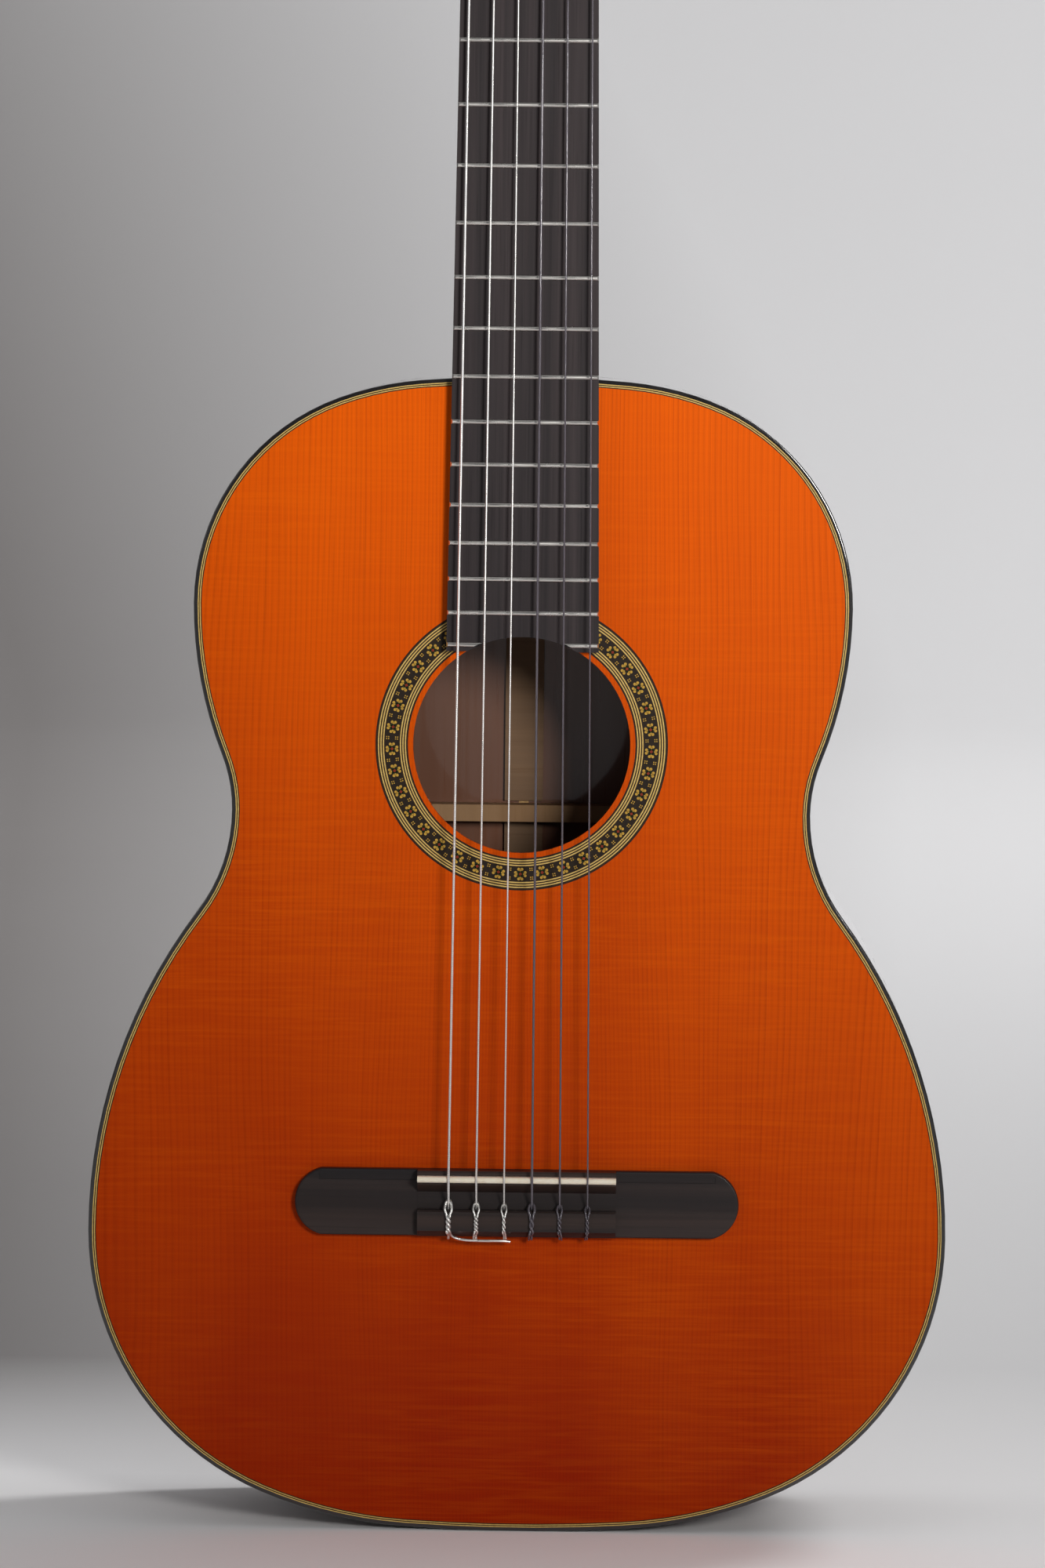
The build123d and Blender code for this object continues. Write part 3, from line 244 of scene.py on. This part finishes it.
def addLights():
    for name, place, aim, size, spread, watts, color in lights:
        data = bpy.data.lights.new(name, "AREA")
        data.shape = "DISK"
        data.size = size
        data.spread = radians(spread)
        data.energy = watts
        data.color = color
        lamp = bpy.data.objects.new(name, data)
        bpy.context.scene.collection.objects.link(lamp)
        lamp.location = place
        lamp.rotation_mode = "QUATERNION"
        lamp.rotation_quaternion = (Vector(aim) - Vector(place)).to_track_quat("-Z", "Y")
    world = bpy.data.worlds.new("studio")
    bpy.context.scene.world = world
    world.use_nodes = True
    tree = world.node_tree
    background = tree.nodes["Background"]
    background.inputs["Strength"].default_value = studio["skyLight"]
    place = tree.nodes.new("ShaderNodeTexCoord")
    split = tree.nodes.new("ShaderNodeSeparateXYZ")
    ramp = tree.nodes.new("ShaderNodeValToRGB")
    ramp.color_ramp.elements[0].position = studio["skyEdges"][0]
    ramp.color_ramp.elements[0].color = (*studio["skyFront"], 1)
    ramp.color_ramp.elements[1].position = studio["skyEdges"][1]
    ramp.color_ramp.elements[1].color = (*studio["skySides"], 1)
    scale = tree.nodes.new("ShaderNodeMath")
    scale.operation = "MULTIPLY_ADD"
    scale.inputs[1].default_value = 0.5
    scale.inputs[2].default_value = 0.5
    tree.links.new(place.outputs["Generated"], split.inputs[0])
    tree.links.new(split.outputs["Y"], scale.inputs[0])
    tree.links.new(scale.outputs[0], ramp.inputs["Fac"])
    tree.links.new(ramp.outputs["Color"], background.inputs["Color"])


def addPaper():
    # one sheet of studio paper: a floor that sweeps up into the backdrop
    start, radius, half = studio["sweepStart"], studio["sweepRadius"], studio["paperHalfWidth"]
    rows = [(studio["paperFront"], 0.0), (start, 0.0)]
    for step in range(1, 17):
        angle = pi / 2 * step / 16
        rows.append((start + radius * sin(angle), radius * (1 - cos(angle))))
    rows.append((start + radius, studio["paperTop"]))
    form = bmesh.new()
    edges = [[form.verts.new((x, y, z)) for x in (-half, half)] for y, z in rows]
    for low, high in zip(edges, edges[1:]):
        form.faces.new((low[0], low[1], high[1], high[0])).smooth = True
    mesh = bpy.data.meshes.new("studioPaper")
    form.to_mesh(mesh)
    form.free()
    sheet = bpy.data.objects.new("studioPaper", mesh)
    bpy.context.scene.collection.objects.link(sheet)
    paper = Shader("studioPaper", roughness=0.8, specular=0.2)
    mottle = paper.noise(paper.stretched((1.5, 1.5, 1.5)), detail=3)
    # the left of the paper lies in shade
    away = paper.math("ADD", paper.axis("Y"), studio["eyeSetback"])
    side = paper.math("DIVIDE", paper.axis("X"), away)
    side = paper.math("ADD", side, paper.math("MULTIPLY", paper.axis("Z"), studio["shadeRise"]))
    side = paper.remap(side, *studio["shadeEdges"])
    tone = paper.mix(studio["paperLeft"], studio["paperRight"], side)
    floor = paper.remap(paper.axis("Y"), *studio["floorEdges"])
    tone = paper.mix(tone, studio["paperFloor"], floor)
    paper.color(paper.mix(tone, (0.5, 0.5, 0.5), paper.math("MULTIPLY", mottle, 0.06)))
    mesh.materials.append(paper.material)


addCamera()
addLights()
addPaper()
print("studio set")


spruce = {
    # the two ends of a painted light-to-shade gradient: lit near the neck, shaded towards the
    # tail
    "litNeckEndWood": (0.73, 0.100, 0.0004),
    "shadedTailWood": (0.30, 0.0165, 0.0002),
    "lineSpacingCentre": 1.15,  # mm between grain lines at the centre seam
    "lineSpacingEdge": 3.3,
    "lineDarkness": 0.34,
    "silk": 0.20,
}


def makeSpruce():
    wood = Shader("spruceTop", roughness=0.45, coat=0.05, coatRoughness=0.10, specular=0.03)
    x, z = wood.axis("X"), wood.axis("Z")
    wander = wood.noise(wood.stretched((9, 9, 2.2)), detail=2)
    wander = wood.remap(wander, 0.3, 0.7, -2.6, 2.6)
    near, far, half = spruce["lineSpacingCentre"], spruce["lineSpacingEdge"], 170.0
    growth = half * near / (far - near)
    distance = wood.math("ABSOLUTE", wood.math("MULTIPLY", x, 1000.0))
    grown = wood.math("ADD", wood.math("DIVIDE", distance, growth), 1.0)
    count = wood.math("LOGARITHM", grown, 2.718282)
    count = wood.math("ADD", wood.math("MULTIPLY", count, growth / near), wander)
    # late wood: a sharp dark line at the end of each year's growth, some years stronger
    year = wood.math("FRACT", count)
    line = wood.ramp(year, [(0.0, 0.35), (0.12, 0.0), (0.55, 0.08), (0.93, 1.0), (1.0, 0.35)])
    place = wood.vector(wood.math("FLOOR", count), 0.0, wood.math("MULTIPLY", z, 3.0))
    strength = wood.noise(place, detail=1)
    line = wood.math("MULTIPLY", line, wood.remap(strength, 0.30, 0.75, 0.25, 1.0))
    fibre = wood.noise(wood.stretched((2600, 60, 14)), detail=3)
    # silk: pale figure across the grain, in patches
    across = wood.noise(wood.stretched((26, 26, 620)), detail=3, distortion=0.6)
    patches = wood.noise(wood.stretched((5, 5, 8), (3.1, 0, 0.7)), detail=2)
    patches = wood.remap(patches, 0.35, 0.68, 0.25, 1.0)
    silk = wood.math("MULTIPLY", wood.remap(across, 0.42, 0.72), patches)
    broad = wood.noise(wood.stretched((7, 7, 1.1), (0.4, 0, 0)), detail=2)
    # painted shade: the top is redder and darker towards the tail, where less light falls, with
    # broad random patches in the tone
    depth = wood.remap(z, 0.0, 0.46)
    depth = wood.math("ADD", depth, wood.remap(broad, 0.3, 0.7, -0.22, 0.22), clamp=True)
    tone = wood.mix(spruce["shadedTailWood"], spruce["litNeckEndWood"], depth)
    brown = tuple(c * f for c, f in zip(spruce["shadedTailWood"], (0.52, 0.38, 0.5)))
    tone = wood.mix(tone, brown, wood.math("MULTIPLY", line, spruce["lineDarkness"]))
    tone = wood.mix(tone, brown, wood.remap(fibre, 0.35, 0.80, 0.0, 0.22))
    pale = tuple(min(1.0, c * f) for c, f in zip(spruce["litNeckEndWood"], (1.1, 1.45, 2.0)))
    tone = wood.mix(tone, pale, wood.math("MULTIPLY", silk, spruce["silk"]))
    wood.color(tone)
    wood.rough(wood.remap(fibre, 0.2, 0.8, 0.36, 0.50))
    wood.bump(wood.math("ADD", line, wood.math("MULTIPLY", fibre, 0.5)), 0.00003, 0.35)
    return wood.material


def makeStreakyWood(
    name, scale, dark, light, streak, roughness, coat, pores=0.5, contrast=1.0, raw=None
):
    # fine long pores, broader streaks and a slow change of tone, all drawn out along the grain
    gloss = 0.4 if coat > 0.3 else 0.2
    wood = Shader(name, roughness=roughness, coat=coat, coatRoughness=0.06, specular=gloss)
    wide = tuple(s * 0.13 for s in scale)
    slow = tuple(s * 0.035 for s in scale)
    fine = wood.noise(wood.stretched(scale), detail=5, roughness=0.65)
    bands = wood.noise(wood.stretched(wide, (0.7, 0.2, 0.9)), detail=4, distortion=0.4)
    drift = wood.noise(wood.stretched(slow, (5.1, 0.4, 2.2)), detail=2)
    tone = wood.mix(dark, light, wood.remap(bands, 0.5 - 0.22 / contrast, 0.5 + 0.22 / contrast))
    tone = wood.mix(tone, streak, wood.remap(drift, 0.52, 0.72, 0.0, 0.7))
    pore = wood.remap(fine, 0.56, 0.70, 0.0, pores)
    tone = wood.mix(tone, tuple(c * 0.25 for c in dark), pore)
    if raw:
        # the unvarnished inner side of the plate is paler
        lean = wood.math("MULTIPLY", wood.axis("Z"), raw["slope"])
        inner = wood.math("ADD", wood.axis("Y"), lean)
        inner = wood.math("LESS_THAN", inner, raw["face"])
        tone = wood.mix(tone, wood.mix(tone, raw["color"], 0.6), inner)
    wood.color(tone)
    wood.rough(wood.remap(fine, 0.3, 0.75, roughness * 0.8, min(1.0, roughness * 1.35)))
    wood.bump(fine, 0.00004, 0.5 if coat < 0.3 else 0.15)
    return wood.material


def makeLacquer(name, color, roughness=0.12, coat=1.0):
    plastic = Shader(name, roughness=roughness, coat=coat, coatRoughness=0.04)
    mottle = plastic.noise(plastic.stretched((60, 60, 60)), detail=4)
    paler = tuple(min(1.0, c * 1.6 + 0.004) for c in color)
    plastic.color(plastic.mix(color, paler, plastic.remap(mottle, 0.4, 0.8)))
    plastic.rough(plastic.remap(mottle, 0.3, 0.7, roughness * 0.8, roughness * 1.5))
    return plastic.material


def makeVeneer(name, color, shade):
    line = Shader(name, roughness=0.4, coat=0.1, coatRoughness=0.08, specular=0.12)
    fibre = line.noise(line.stretched((700, 700, 700)), detail=3)
    line.color(line.mix(color, shade, line.remap(fibre, 0.35, 0.75)))
    line.rough(line.remap(fibre, 0.3, 0.7, 0.34, 0.48))
    return line.material


def makeBone(name, color, shade):
    bone = Shader(name, roughness=0.3, coat=0.25, coatRoughness=0.15)
    bone.surface.inputs["Subsurface Weight"].default_value = 0.15
    bone.surface.inputs["Subsurface Radius"].default_value = (0.0012, 0.0009, 0.0006)
    bone.surface.inputs["Subsurface Scale"].default_value = 0.6
    cloud = bone.noise(bone.stretched((240, 240, 240)), detail=4)
    fleck = bone.noise(bone.stretched((500, 2500, 2500)), detail=2)
    tone = bone.mix(color, shade, bone.remap(cloud, 0.35, 0.75, 0.0, 0.8))
    tone = bone.mix(tone, tuple(c * 0.72 for c in shade), bone.remap(fleck, 0.62, 0.78, 0.0, 0.5))
    bone.color(tone)
    bone.rough(bone.remap(cloud, 0.3, 0.7, 0.24, 0.38))
    bone.bump(fleck, 0.00002, 0.2)
    return bone.material


def makeMetal(name, color, roughness, brush=(900, 900, 60), wear=0.25):
    metal = Shader(name, roughness=roughness, metallic=1.0)
    scratch = metal.noise(metal.stretched(brush), detail=4)
    cloud = metal.noise(metal.stretched((90, 90, 90)), detail=4)
    wearAndGrooveShade = tuple(c * 0.72 for c in color)
    metal.color(metal.mix(color, wearAndGrooveShade, metal.remap(cloud, 0.45, 0.75, 0.0, wear * 2)))
    metal.rough(metal.remap(cloud, 0.3, 0.75, roughness * 0.75, roughness * 1.7))
    metal.bump(scratch, 0.00001, 0.25)
    return metal.material


def makeWoundMetal(name, color):
    # silver wrap wire, seen as fine ridges across the string
    wound = Shader(name, roughness=0.30, metallic=0.85)
    ridge = wound.node(
        "ShaderNodeTexWave", wave_type="BANDS", bands_direction="Z", wave_profile="SIN"
    )
    ridge.inputs["Scale"].default_value = 1.0
    wound.join(wound.stretched((0, 120, 620)), ridge.inputs["Vector"])
    cloud = wound.noise(wound.stretched((300, 300, 60)), detail=3)
    wearAndGrooveShade = tuple(c * 0.55 for c in color)
    # painted shade: the colour is darkened in the grooves between the wire's turns
    wound.color(wound.mix(color, wearAndGrooveShade, wound.remap(ridge.outputs["Fac"], 0.55, 0.0, 0.0, 0.55)))
    wound.rough(wound.remap(cloud, 0.3, 0.7, 0.24, 0.42))
    wound.bump(ridge.outputs["Fac"], 0.00006, 0.6)
    return wound.material


def makeNylon(name, color):
    nylon = Shader(name, roughness=0.18, coat=0.3, coatRoughness=0.05)
    nylon.surface.inputs["Transmission Weight"].default_value = 0.25
    nylon.surface.inputs["IOR"].default_value = 1.53
    cloud = nylon.noise(nylon.stretched((120, 120, 25)), detail=2)
    nylon.color(nylon.mix(color, tuple(c * 0.8 for c in color), cloud))
    nylon.rough(nylon.remap(cloud, 0.3, 0.7, 0.14, 0.24))
    return nylon.material


def makePearl(name, color, shade):
    pearl = Shader(name, roughness=0.25, coat=0.9, coatRoughness=0.04)
    drift = pearl.cells(pearl.stretched((210, 210, 210)))
    swirl = pearl.noise(pearl.stretched((160, 160, 160)), detail=3, distortion=2.5)
    tone = pearl.mix(color, shade, pearl.remap(swirl, 0.35, 0.7))
    bright = tuple(min(1.0, c * 1.1) for c in color)
    tone = pearl.mix(tone, bright, pearl.remap(drift.outputs["Distance"], 0.2, 0.8, 0.0, 0.5))
    pearl.color(tone)
    pearl.rough(pearl.remap(swirl, 0.3, 0.7, 0.18, 0.32))
    return pearl.material


topWood = makeSpruce()
backWood = makeStreakyWood(
    "backRosewood", (420, 90, 7),
    (0.030, 0.010, 0.005), (0.085, 0.028, 0.013), (0.020, 0.007, 0.005), 0.3, 0.8,
    raw={"slope": 0.01274, "face": 0.0967, "color": (0.20, 0.085, 0.045)},
)
ribWood = makeStreakyWood(
    "ribRosewood", (7, 420, 7),
    (0.030, 0.010, 0.005), (0.085, 0.028, 0.013), (0.020, 0.007, 0.005), 0.25, 1.0
)
bindingBlack = makeLacquer("bindingBlack", (0.006, 0.005, 0.005))
creamLine = makeVeneer("creamVeneer", (0.60, 0.42, 0.13), (0.46, 0.29, 0.08))
darkLine = makeVeneer("darkVeneer", (0.030, 0.014, 0.005), (0.014, 0.007, 0.003))
mapleStrip = makeVeneer("paleInlay", (0.52, 0.33, 0.14), (0.40, 0.23, 0.09))
braceWood = makeStreakyWood(
    "braceSpruce", (900, 900, 20),
    (0.26, 0.15, 0.07), (0.34, 0.20, 0.10), (0.21, 0.115, 0.05), 0.6, 0.0, 0.15
)
seamWood = makeStreakyWood(
    "seamCrossGrain", (20, 700, 900),
    (0.17, 0.10, 0.055), (0.22, 0.13, 0.07), (0.13, 0.075, 0.04), 0.6, 0.0, 0.15
)
blockWood = makeStreakyWood(
    "blockCedar", (500, 500, 12),
    (0.24, 0.10, 0.045), (0.32, 0.15, 0.075), (0.2, 0.08, 0.035), 0.6, 0.0, 0.3
)
neckWood = makeStreakyWood(
    "neckCedar", (520, 520, 9),
    (0.15, 0.042, 0.014), (0.25, 0.078, 0.027), (0.11, 0.030, 0.010), 0.32, 0.55, 0.45
)
ebonyWood = makeStreakyWood(
    "fingerboardEbony", (1500, 1500, 16),
    (0.012, 0.008, 0.009), (0.030, 0.021, 0.022), (0.010, 0.007, 0.008),
    0.5, 0.0, 0.5, contrast=1.6
)
bridgeWood = makeStreakyWood(
    "bridgeRosewood", (12, 700, 700),
    (0.010, 0.008, 0.009), (0.036, 0.024, 0.021), (0.060, 0.032, 0.020),
    0.42, 0.05, 0.5, contrast=1.8
)
plateVeneer = makeStreakyWood(
    "headplateRosewood", (620, 620, 10),
    (0.026, 0.010, 0.006), (0.075, 0.026, 0.013), (0.018, 0.007, 0.005), 0.25, 0.9
)
boneWhite = makeBone("bone", (0.80, 0.75, 0.62), (0.70, 0.62, 0.46))
fretMetal = makeMetal("nickelSilver", (0.72, 0.70, 0.66), 0.22)
brassMetal = makeMetal("goldPlate", (0.78, 0.54, 0.20), 0.22)
gearMetal = makeMetal("gearBrass", (0.66, 0.46, 0.18), 0.30, wear=0.4)
steelMetal = makeMetal("wormSteel", (0.62, 0.61, 0.60), 0.20)
rollerWhite = makeBone("rollerWhite", (0.78, 0.76, 0.70), (0.66, 0.63, 0.55))
pearlWhite = makePearl("buttonPearl", (0.82, 0.77, 0.66), (0.62, 0.56, 0.46))
silverWound = makeWoundMetal("silverWound", (0.86, 0.85, 0.82))
clearNylon = makeNylon("clearNylon", (0.13, 0.115, 0.135))
goldTile = makeVeneer("mosaicGold", (0.50, 0.30, 0.045), (0.38, 0.21, 0.03))
greenTile = makeVeneer("mosaicGreen", (0.022, 0.040, 0.012), (0.014, 0.026, 0.008))
redTile = makeVeneer("mosaicRed", (0.22, 0.028, 0.010), (0.15, 0.018, 0.007))
groundTile = makeVeneer("mosaicGround", (0.020, 0.012, 0.006), (0.010, 0.006, 0.004))

finishes = {
    topWood: ["soundboard_bass_half", "soundboard_treble_half"],
    creamLine: ["rosette_light_lines", "purfling_light_lines"],
    darkLine: ["rosette_dark_lines", "purfling_dark_lines"],
    bindingBlack: ["front_binding", "back_binding"],
    ribWood: ["bass_rib", "treble_rib"],
    backWood: ["back_bass_half", "back_treble_half", "heel_cap"],
    mapleStrip: ["back_centre_strip"],
    braceWood: ["transverse_bars", "fan_braces", "back_braces", "bridge_plate"],
    seamWood: ["back_seam_strip"],
    blockWood: ["neck_block", "end_block", "linings"],
    neckWood: ["neck", "headstock"],
    plateVeneer: ["headplate"],
    ebonyWood: ["fingerboard"],
    fretMetal: ["frets"],
    boneWhite: ["nut", "saddle"],
    bridgeWood: ["bridge"],
    brassMetal: ["bass_tuner_plate", "treble_tuner_plate", "tuner_screws"],
}
for material, names in finishes.items():
    for name in names:
        paint(name, material)
for number in range(1, 7):
    paint(f"tuner_{number}_button", pearlWhite)
    paint(f"tuner_{number}_worm", steelMetal)
    paint(f"tuner_{number}_roller", rollerWhite)
    paint(f"tuner_{number}_gear", gearMetal)
print("finishes made")


strings = {
    # from the thinnest treble to the thickest bass, in mm
    "diameters": [0.72, 0.82, 1.02, 0.76, 0.90, 1.09],
    "spreadAtSaddle": 56.4,
    "spreadAtNut": 46.8,
    "sideShift": 0.6,
    "heightAtSaddle": 12.8,
    "heightAtNut": 7.6,
    "saddleCrest": 1.3,
    "holeHeight": 5.6,
    "tieDepth": 11.1,
    "tieTop": 8.6,
    "tieSlope": 2.6,
    "loopReach": [2.0, 2.4, 2.9, 2.7, 3.2, 4.0],  # in front of the tie block
    "loopWidth": [0.85, 0.95, 1.15, 1.0, 1.1, 1.3],
    "twists": [1.5, 1.5, 1.0, 1.5, 2.0, 1.5],
    "rollerOf": [0, 1, 2, 2, 1, 0],
    "rollerPlaces": [19.5, 15.5, 15.0],
    "rollerRadius": 4.8,
    "gap": 0.06,
    "turns": 3,
    "headTilt": 15,
}


def stringRoute(number):
    # one string from its last turn on the roller to its tie, as (x, y, z, smooth) in mm
    radius = strings["diameters"][number] / 2
    share = 0.5 - number / 5
    hand = 1 if share > 0 else -1
    gap = strings["gap"]
    tilt = radians(strings["headTilt"])
    along = Vector((0, sin(tilt), cos(tilt)))
    behind = Vector((0, cos(tilt), -sin(tilt)))
    roller = strings["rollerOf"][number]
    axis = centreOf(f"tuner_{number + 1}_roller") * 1000
    axis.x = hand * strings["rollerPlaces"][roller]
    around = strings["rollerRadius"] + radius + gap
    pitch = -hand * 2.12 * radius
    points = []
    steps = 12
    for step in range(strings["turns"] * steps, -1, -1):
        angle = 2 * pi * step / steps
        spot = axis + around * (sin(angle) * along - cos(angle) * behind)
        spot.x += pitch * max(0.0, step / steps - 0.15)
        points.append((*spot, True))
    nutHigh = highCorner("nut").z * 1000
    nutLow = lowCorner("nut").z * 1000
    xNut = strings["sideShift"] + share * strings["spreadAtNut"]
    xSaddle = strings["sideShift"] + share * strings["spreadAtSaddle"]
    nutMiddle = nutLow + 0.12 * (nutHigh - nutLow)
    points.append((xNut, -(strings["heightAtNut"] + radius), nutMiddle, False))
    tieBack = lowCorner("bridge").z * 1000
    entry = tieBack + strings["tieDepth"] - radius
    saddleMiddle = centreOf("saddle").z * 1000
    top = strings["heightAtSaddle"] + radius
    drop = atan2(top - strings["holeHeight"], saddleMiddle - entry)
    bend = saddleMiddle - (strings["saddleCrest"] + radius + gap) * tan(drop / 2)
    points.append((xSaddle, -top, bend, False))
    points.append((xSaddle, -strings["holeHeight"], entry, False))
    back = tieBack - radius - gap
    points.append((xSaddle, -strings["holeHeight"], back + 0.9, False))
    points.append((xSaddle, -(strings["holeHeight"] + 0.1), back - 0.1, True))
    slopeMiddle = (strings["tieTop"] + strings["tieTop"] - 2 * strings["tieSlope"] * 0.7) / 2
    points.append((xSaddle, -(slopeMiddle + 1.75 * (radius + gap)), tieBack + 1.1, True))
    points += [(xSaddle + x, -h, z, True) for x, h, z in tieLoop(number, radius, tieBack)]
    points += [(x, -h, z, True) for x, h, z in tailOf(number, radius, xSaddle, tieBack)]
    return points


def tieLoop(number, radius, tieBack):
    # the string's two strands twisted on the tie block, and the loop under its own run
    top = strings["tieTop"] + 2.15 * radius + 0.05
    front = tieBack + strings["tieDepth"]
    start, end = tieBack + strings["tieSlope"], front - 2.4
    twists = strings["twists"][number]
    steps = round(twists * 8)
    out, back = [], []
    for step in range(steps + 1):
        # the twist opens out towards the loop
        share = step / steps
        angle = pi * (1 - twists * 2 * (1 - share)) + pi
        z = start + (end - start) * share
        reach = radius * 1.12
        out.append((reach * cos(angle), top + reach * sin(angle), z))
        back.append((-reach * cos(angle), top - reach * sin(angle), z))
    side = strings["loopWidth"][number]
    far = strings["loopReach"][number]
    climb = strings["heightAtSaddle"] - strings["holeHeight"]
    rise = climb / (centreOf("saddle").z * 1000 - front)
    under = strings["holeHeight"] + rise * far - (2 * radius + 0.12) * sqrt(1 + rise * rise)
    sign = 1 if out[-1][0] > 0 else -1
    half = [
        (0.62, strings["tieTop"] + radius + 0.35, front - 1.3),
        (1.0, strings["tieTop"] + radius + 0.2, front - 0.1),
        (0.98, strings["tieTop"] + radius - 0.9, front + far * 0.45),
        (0.60, (under + strings["tieTop"]) / 2 - 0.2, front + far * 0.86),
    ]
    loop = [(sign * side * x, h, z) for x, h, z in half]
    loop.append((0, under, front + far))
    loop += [(-sign * side * x, h, z) for x, h, z in half[::-1]]
    return out + loop + back[::-1]


def tailOf(number, radius, x, back):
    # the loose end, tucked down behind the tie block; the sixth runs along its back edge
    edge = (x + (0.9 if number % 2 else -0.9) * radius * 2.4, 6.9 + radius, back + 0.2)
    short = [edge, (edge[0], 5.2, back - radius - 0.5), (edge[0], 4.0, back - radius - 0.7)]
    if number == 5:
        return [
            (x + 1.3, 7.4, back + 0.6),
            (x + 3.2, 6.2, back - 0.6),
            (x + 7.5, 6.2, back - 1.35),
            (x + 13.0, 6.2, back - 1.55),
            (x + 23.0, 6.2, back - 1.55),
            (x + 25.2, 5.9, back - 1.8),
        ]
    return short


def makeString(number):
    radius = strings["diameters"][number] / 2
    route = stringRoute(number)
    curve = bpy.data.curves.new(f"string_{number + 1}", "CURVE")
    curve.dimensions = "3D"
    curve.bevel_depth = radius * mm
    curve.bevel_resolution = 2
    curve.resolution_u = 4
    curve.use_fill_caps = True
    spline = curve.splines.new("BEZIER")
    spline.bezier_points.add(len(route) - 1)
    for point, (x, y, z, smooth) in zip(spline.bezier_points, route):
        point.co = (x * mm, y * mm, z * mm)
        kind = "AUTO" if smooth else "VECTOR"
        point.handle_left_type = point.handle_right_type = kind
    treble = number < 3
    piece = newObject(
        f"string_{number + 1}", curve, clearNylon if treble else silverWound,
    )
    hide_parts("treble_strings" if treble else "bass_strings")
    return piece


for number in range(6):
    makeString(number)
print("strings made")


mosaic = {
    "flowers": 37,
    "radius": 52.55,  # mm, the middle of the band
    "petalReach": 1.98,
    "lobeSpread": 0.66,
    "lobe": 0.60,
    "petalBase": 0.46,
    "leaf": 0.50,
    "centre": 0.62,
    "dot": 0.27,
    "dotSpread": 0.40,
    "dotRows": (50.75, 54.35),
    "proud": 0.018,
}


def inlay(name, spots, proud, material, turn=0.0):
    # little flat plugs let into the band
    # a spot is (angle round the hole, radius, across, out, size, sides)
    form = bmesh.new()
    centre = (lowCorner("rosette_mosaic_band") + highCorner("rosette_mosaic_band")) / 2
    for around, radius, across, out, size, sides in spots:
        outward = Vector((sin(around), 0, cos(around)))
        sideways = Vector((cos(around), 0, -sin(around)))
        middle = outward * (radius + out) + sideways * across
        ring = []
        for step in range(sides):
            angle = 2 * pi * step / sides + turn
            place = middle + outward * cos(angle) * size + sideways * sin(angle) * size
            ring.append(place * mm + Vector((centre.x, 0, centre.z)))
        low = [form.verts.new(place + Vector((0, 0.02 * mm, 0))) for place in ring]
        high = [form.verts.new(place + Vector((0, -proud * mm, 0))) for place in ring]
        form.faces.new(high)
        form.faces.new(low[::-1])
        for step in range(sides):
            after = (step + 1) % sides
            form.faces.new((high[step], low[step], low[after], high[after]))
    bmesh.ops.recalc_face_normals(form, faces=form.faces)
    mesh = bpy.data.meshes.new(name)
    form.to_mesh(mesh)
    form.free()
    return newObject(name, mesh, material)


def makeMosaic():
    gold, green, red = [], [], []
    middle = mosaic["radius"]
    for flower in range(mosaic["flowers"]):
        around = 2 * pi * (flower + 0.5) / mosaic["flowers"]
        for quarter in range(4):
            angle = pi / 2 * quarter
            for side in (-1, 1):
                reach, spread = mosaic["petalReach"], mosaic["lobeSpread"] * side
                across = reach * sin(angle) + spread * cos(angle)
                out = reach * cos(angle) - spread * sin(angle)
                gold.append((around, middle, across, out, mosaic["lobe"], 9))
            base = mosaic["petalReach"] * 0.80
            across, out = base * sin(angle), base * cos(angle)
            gold.append((around, middle, across, out, mosaic["petalBase"], 8))
            leaf = angle + pi / 4
            green.append((around, middle, sin(leaf) * 0.95, cos(leaf) * 0.95, mosaic["leaf"], 7))
        green.append((around, middle, 0, 0, mosaic["centre"] * 1.8, 10))
        red.append((around, middle, 0, 0, mosaic["centre"], 8))
        between = around + pi / mosaic["flowers"]
        for row in mosaic["dotRows"]:
            for across in (-1, 1):
                for out in (-1, 1):
                    spread = mosaic["dotSpread"]
                    gold.append((between, row, across * spread, out * spread, mosaic["dot"], 6))
    proud = mosaic["proud"]
    inlay("rosette_gold_tiles", gold, proud, goldTile)
    inlay("rosette_green_tiles", green, proud * 1.3, greenTile)
    inlay("rosette_red_tiles", red, proud * 1.6, redTile)


paint("rosette_mosaic_band", groundTile)
makeMosaic()
print("mosaic laid")
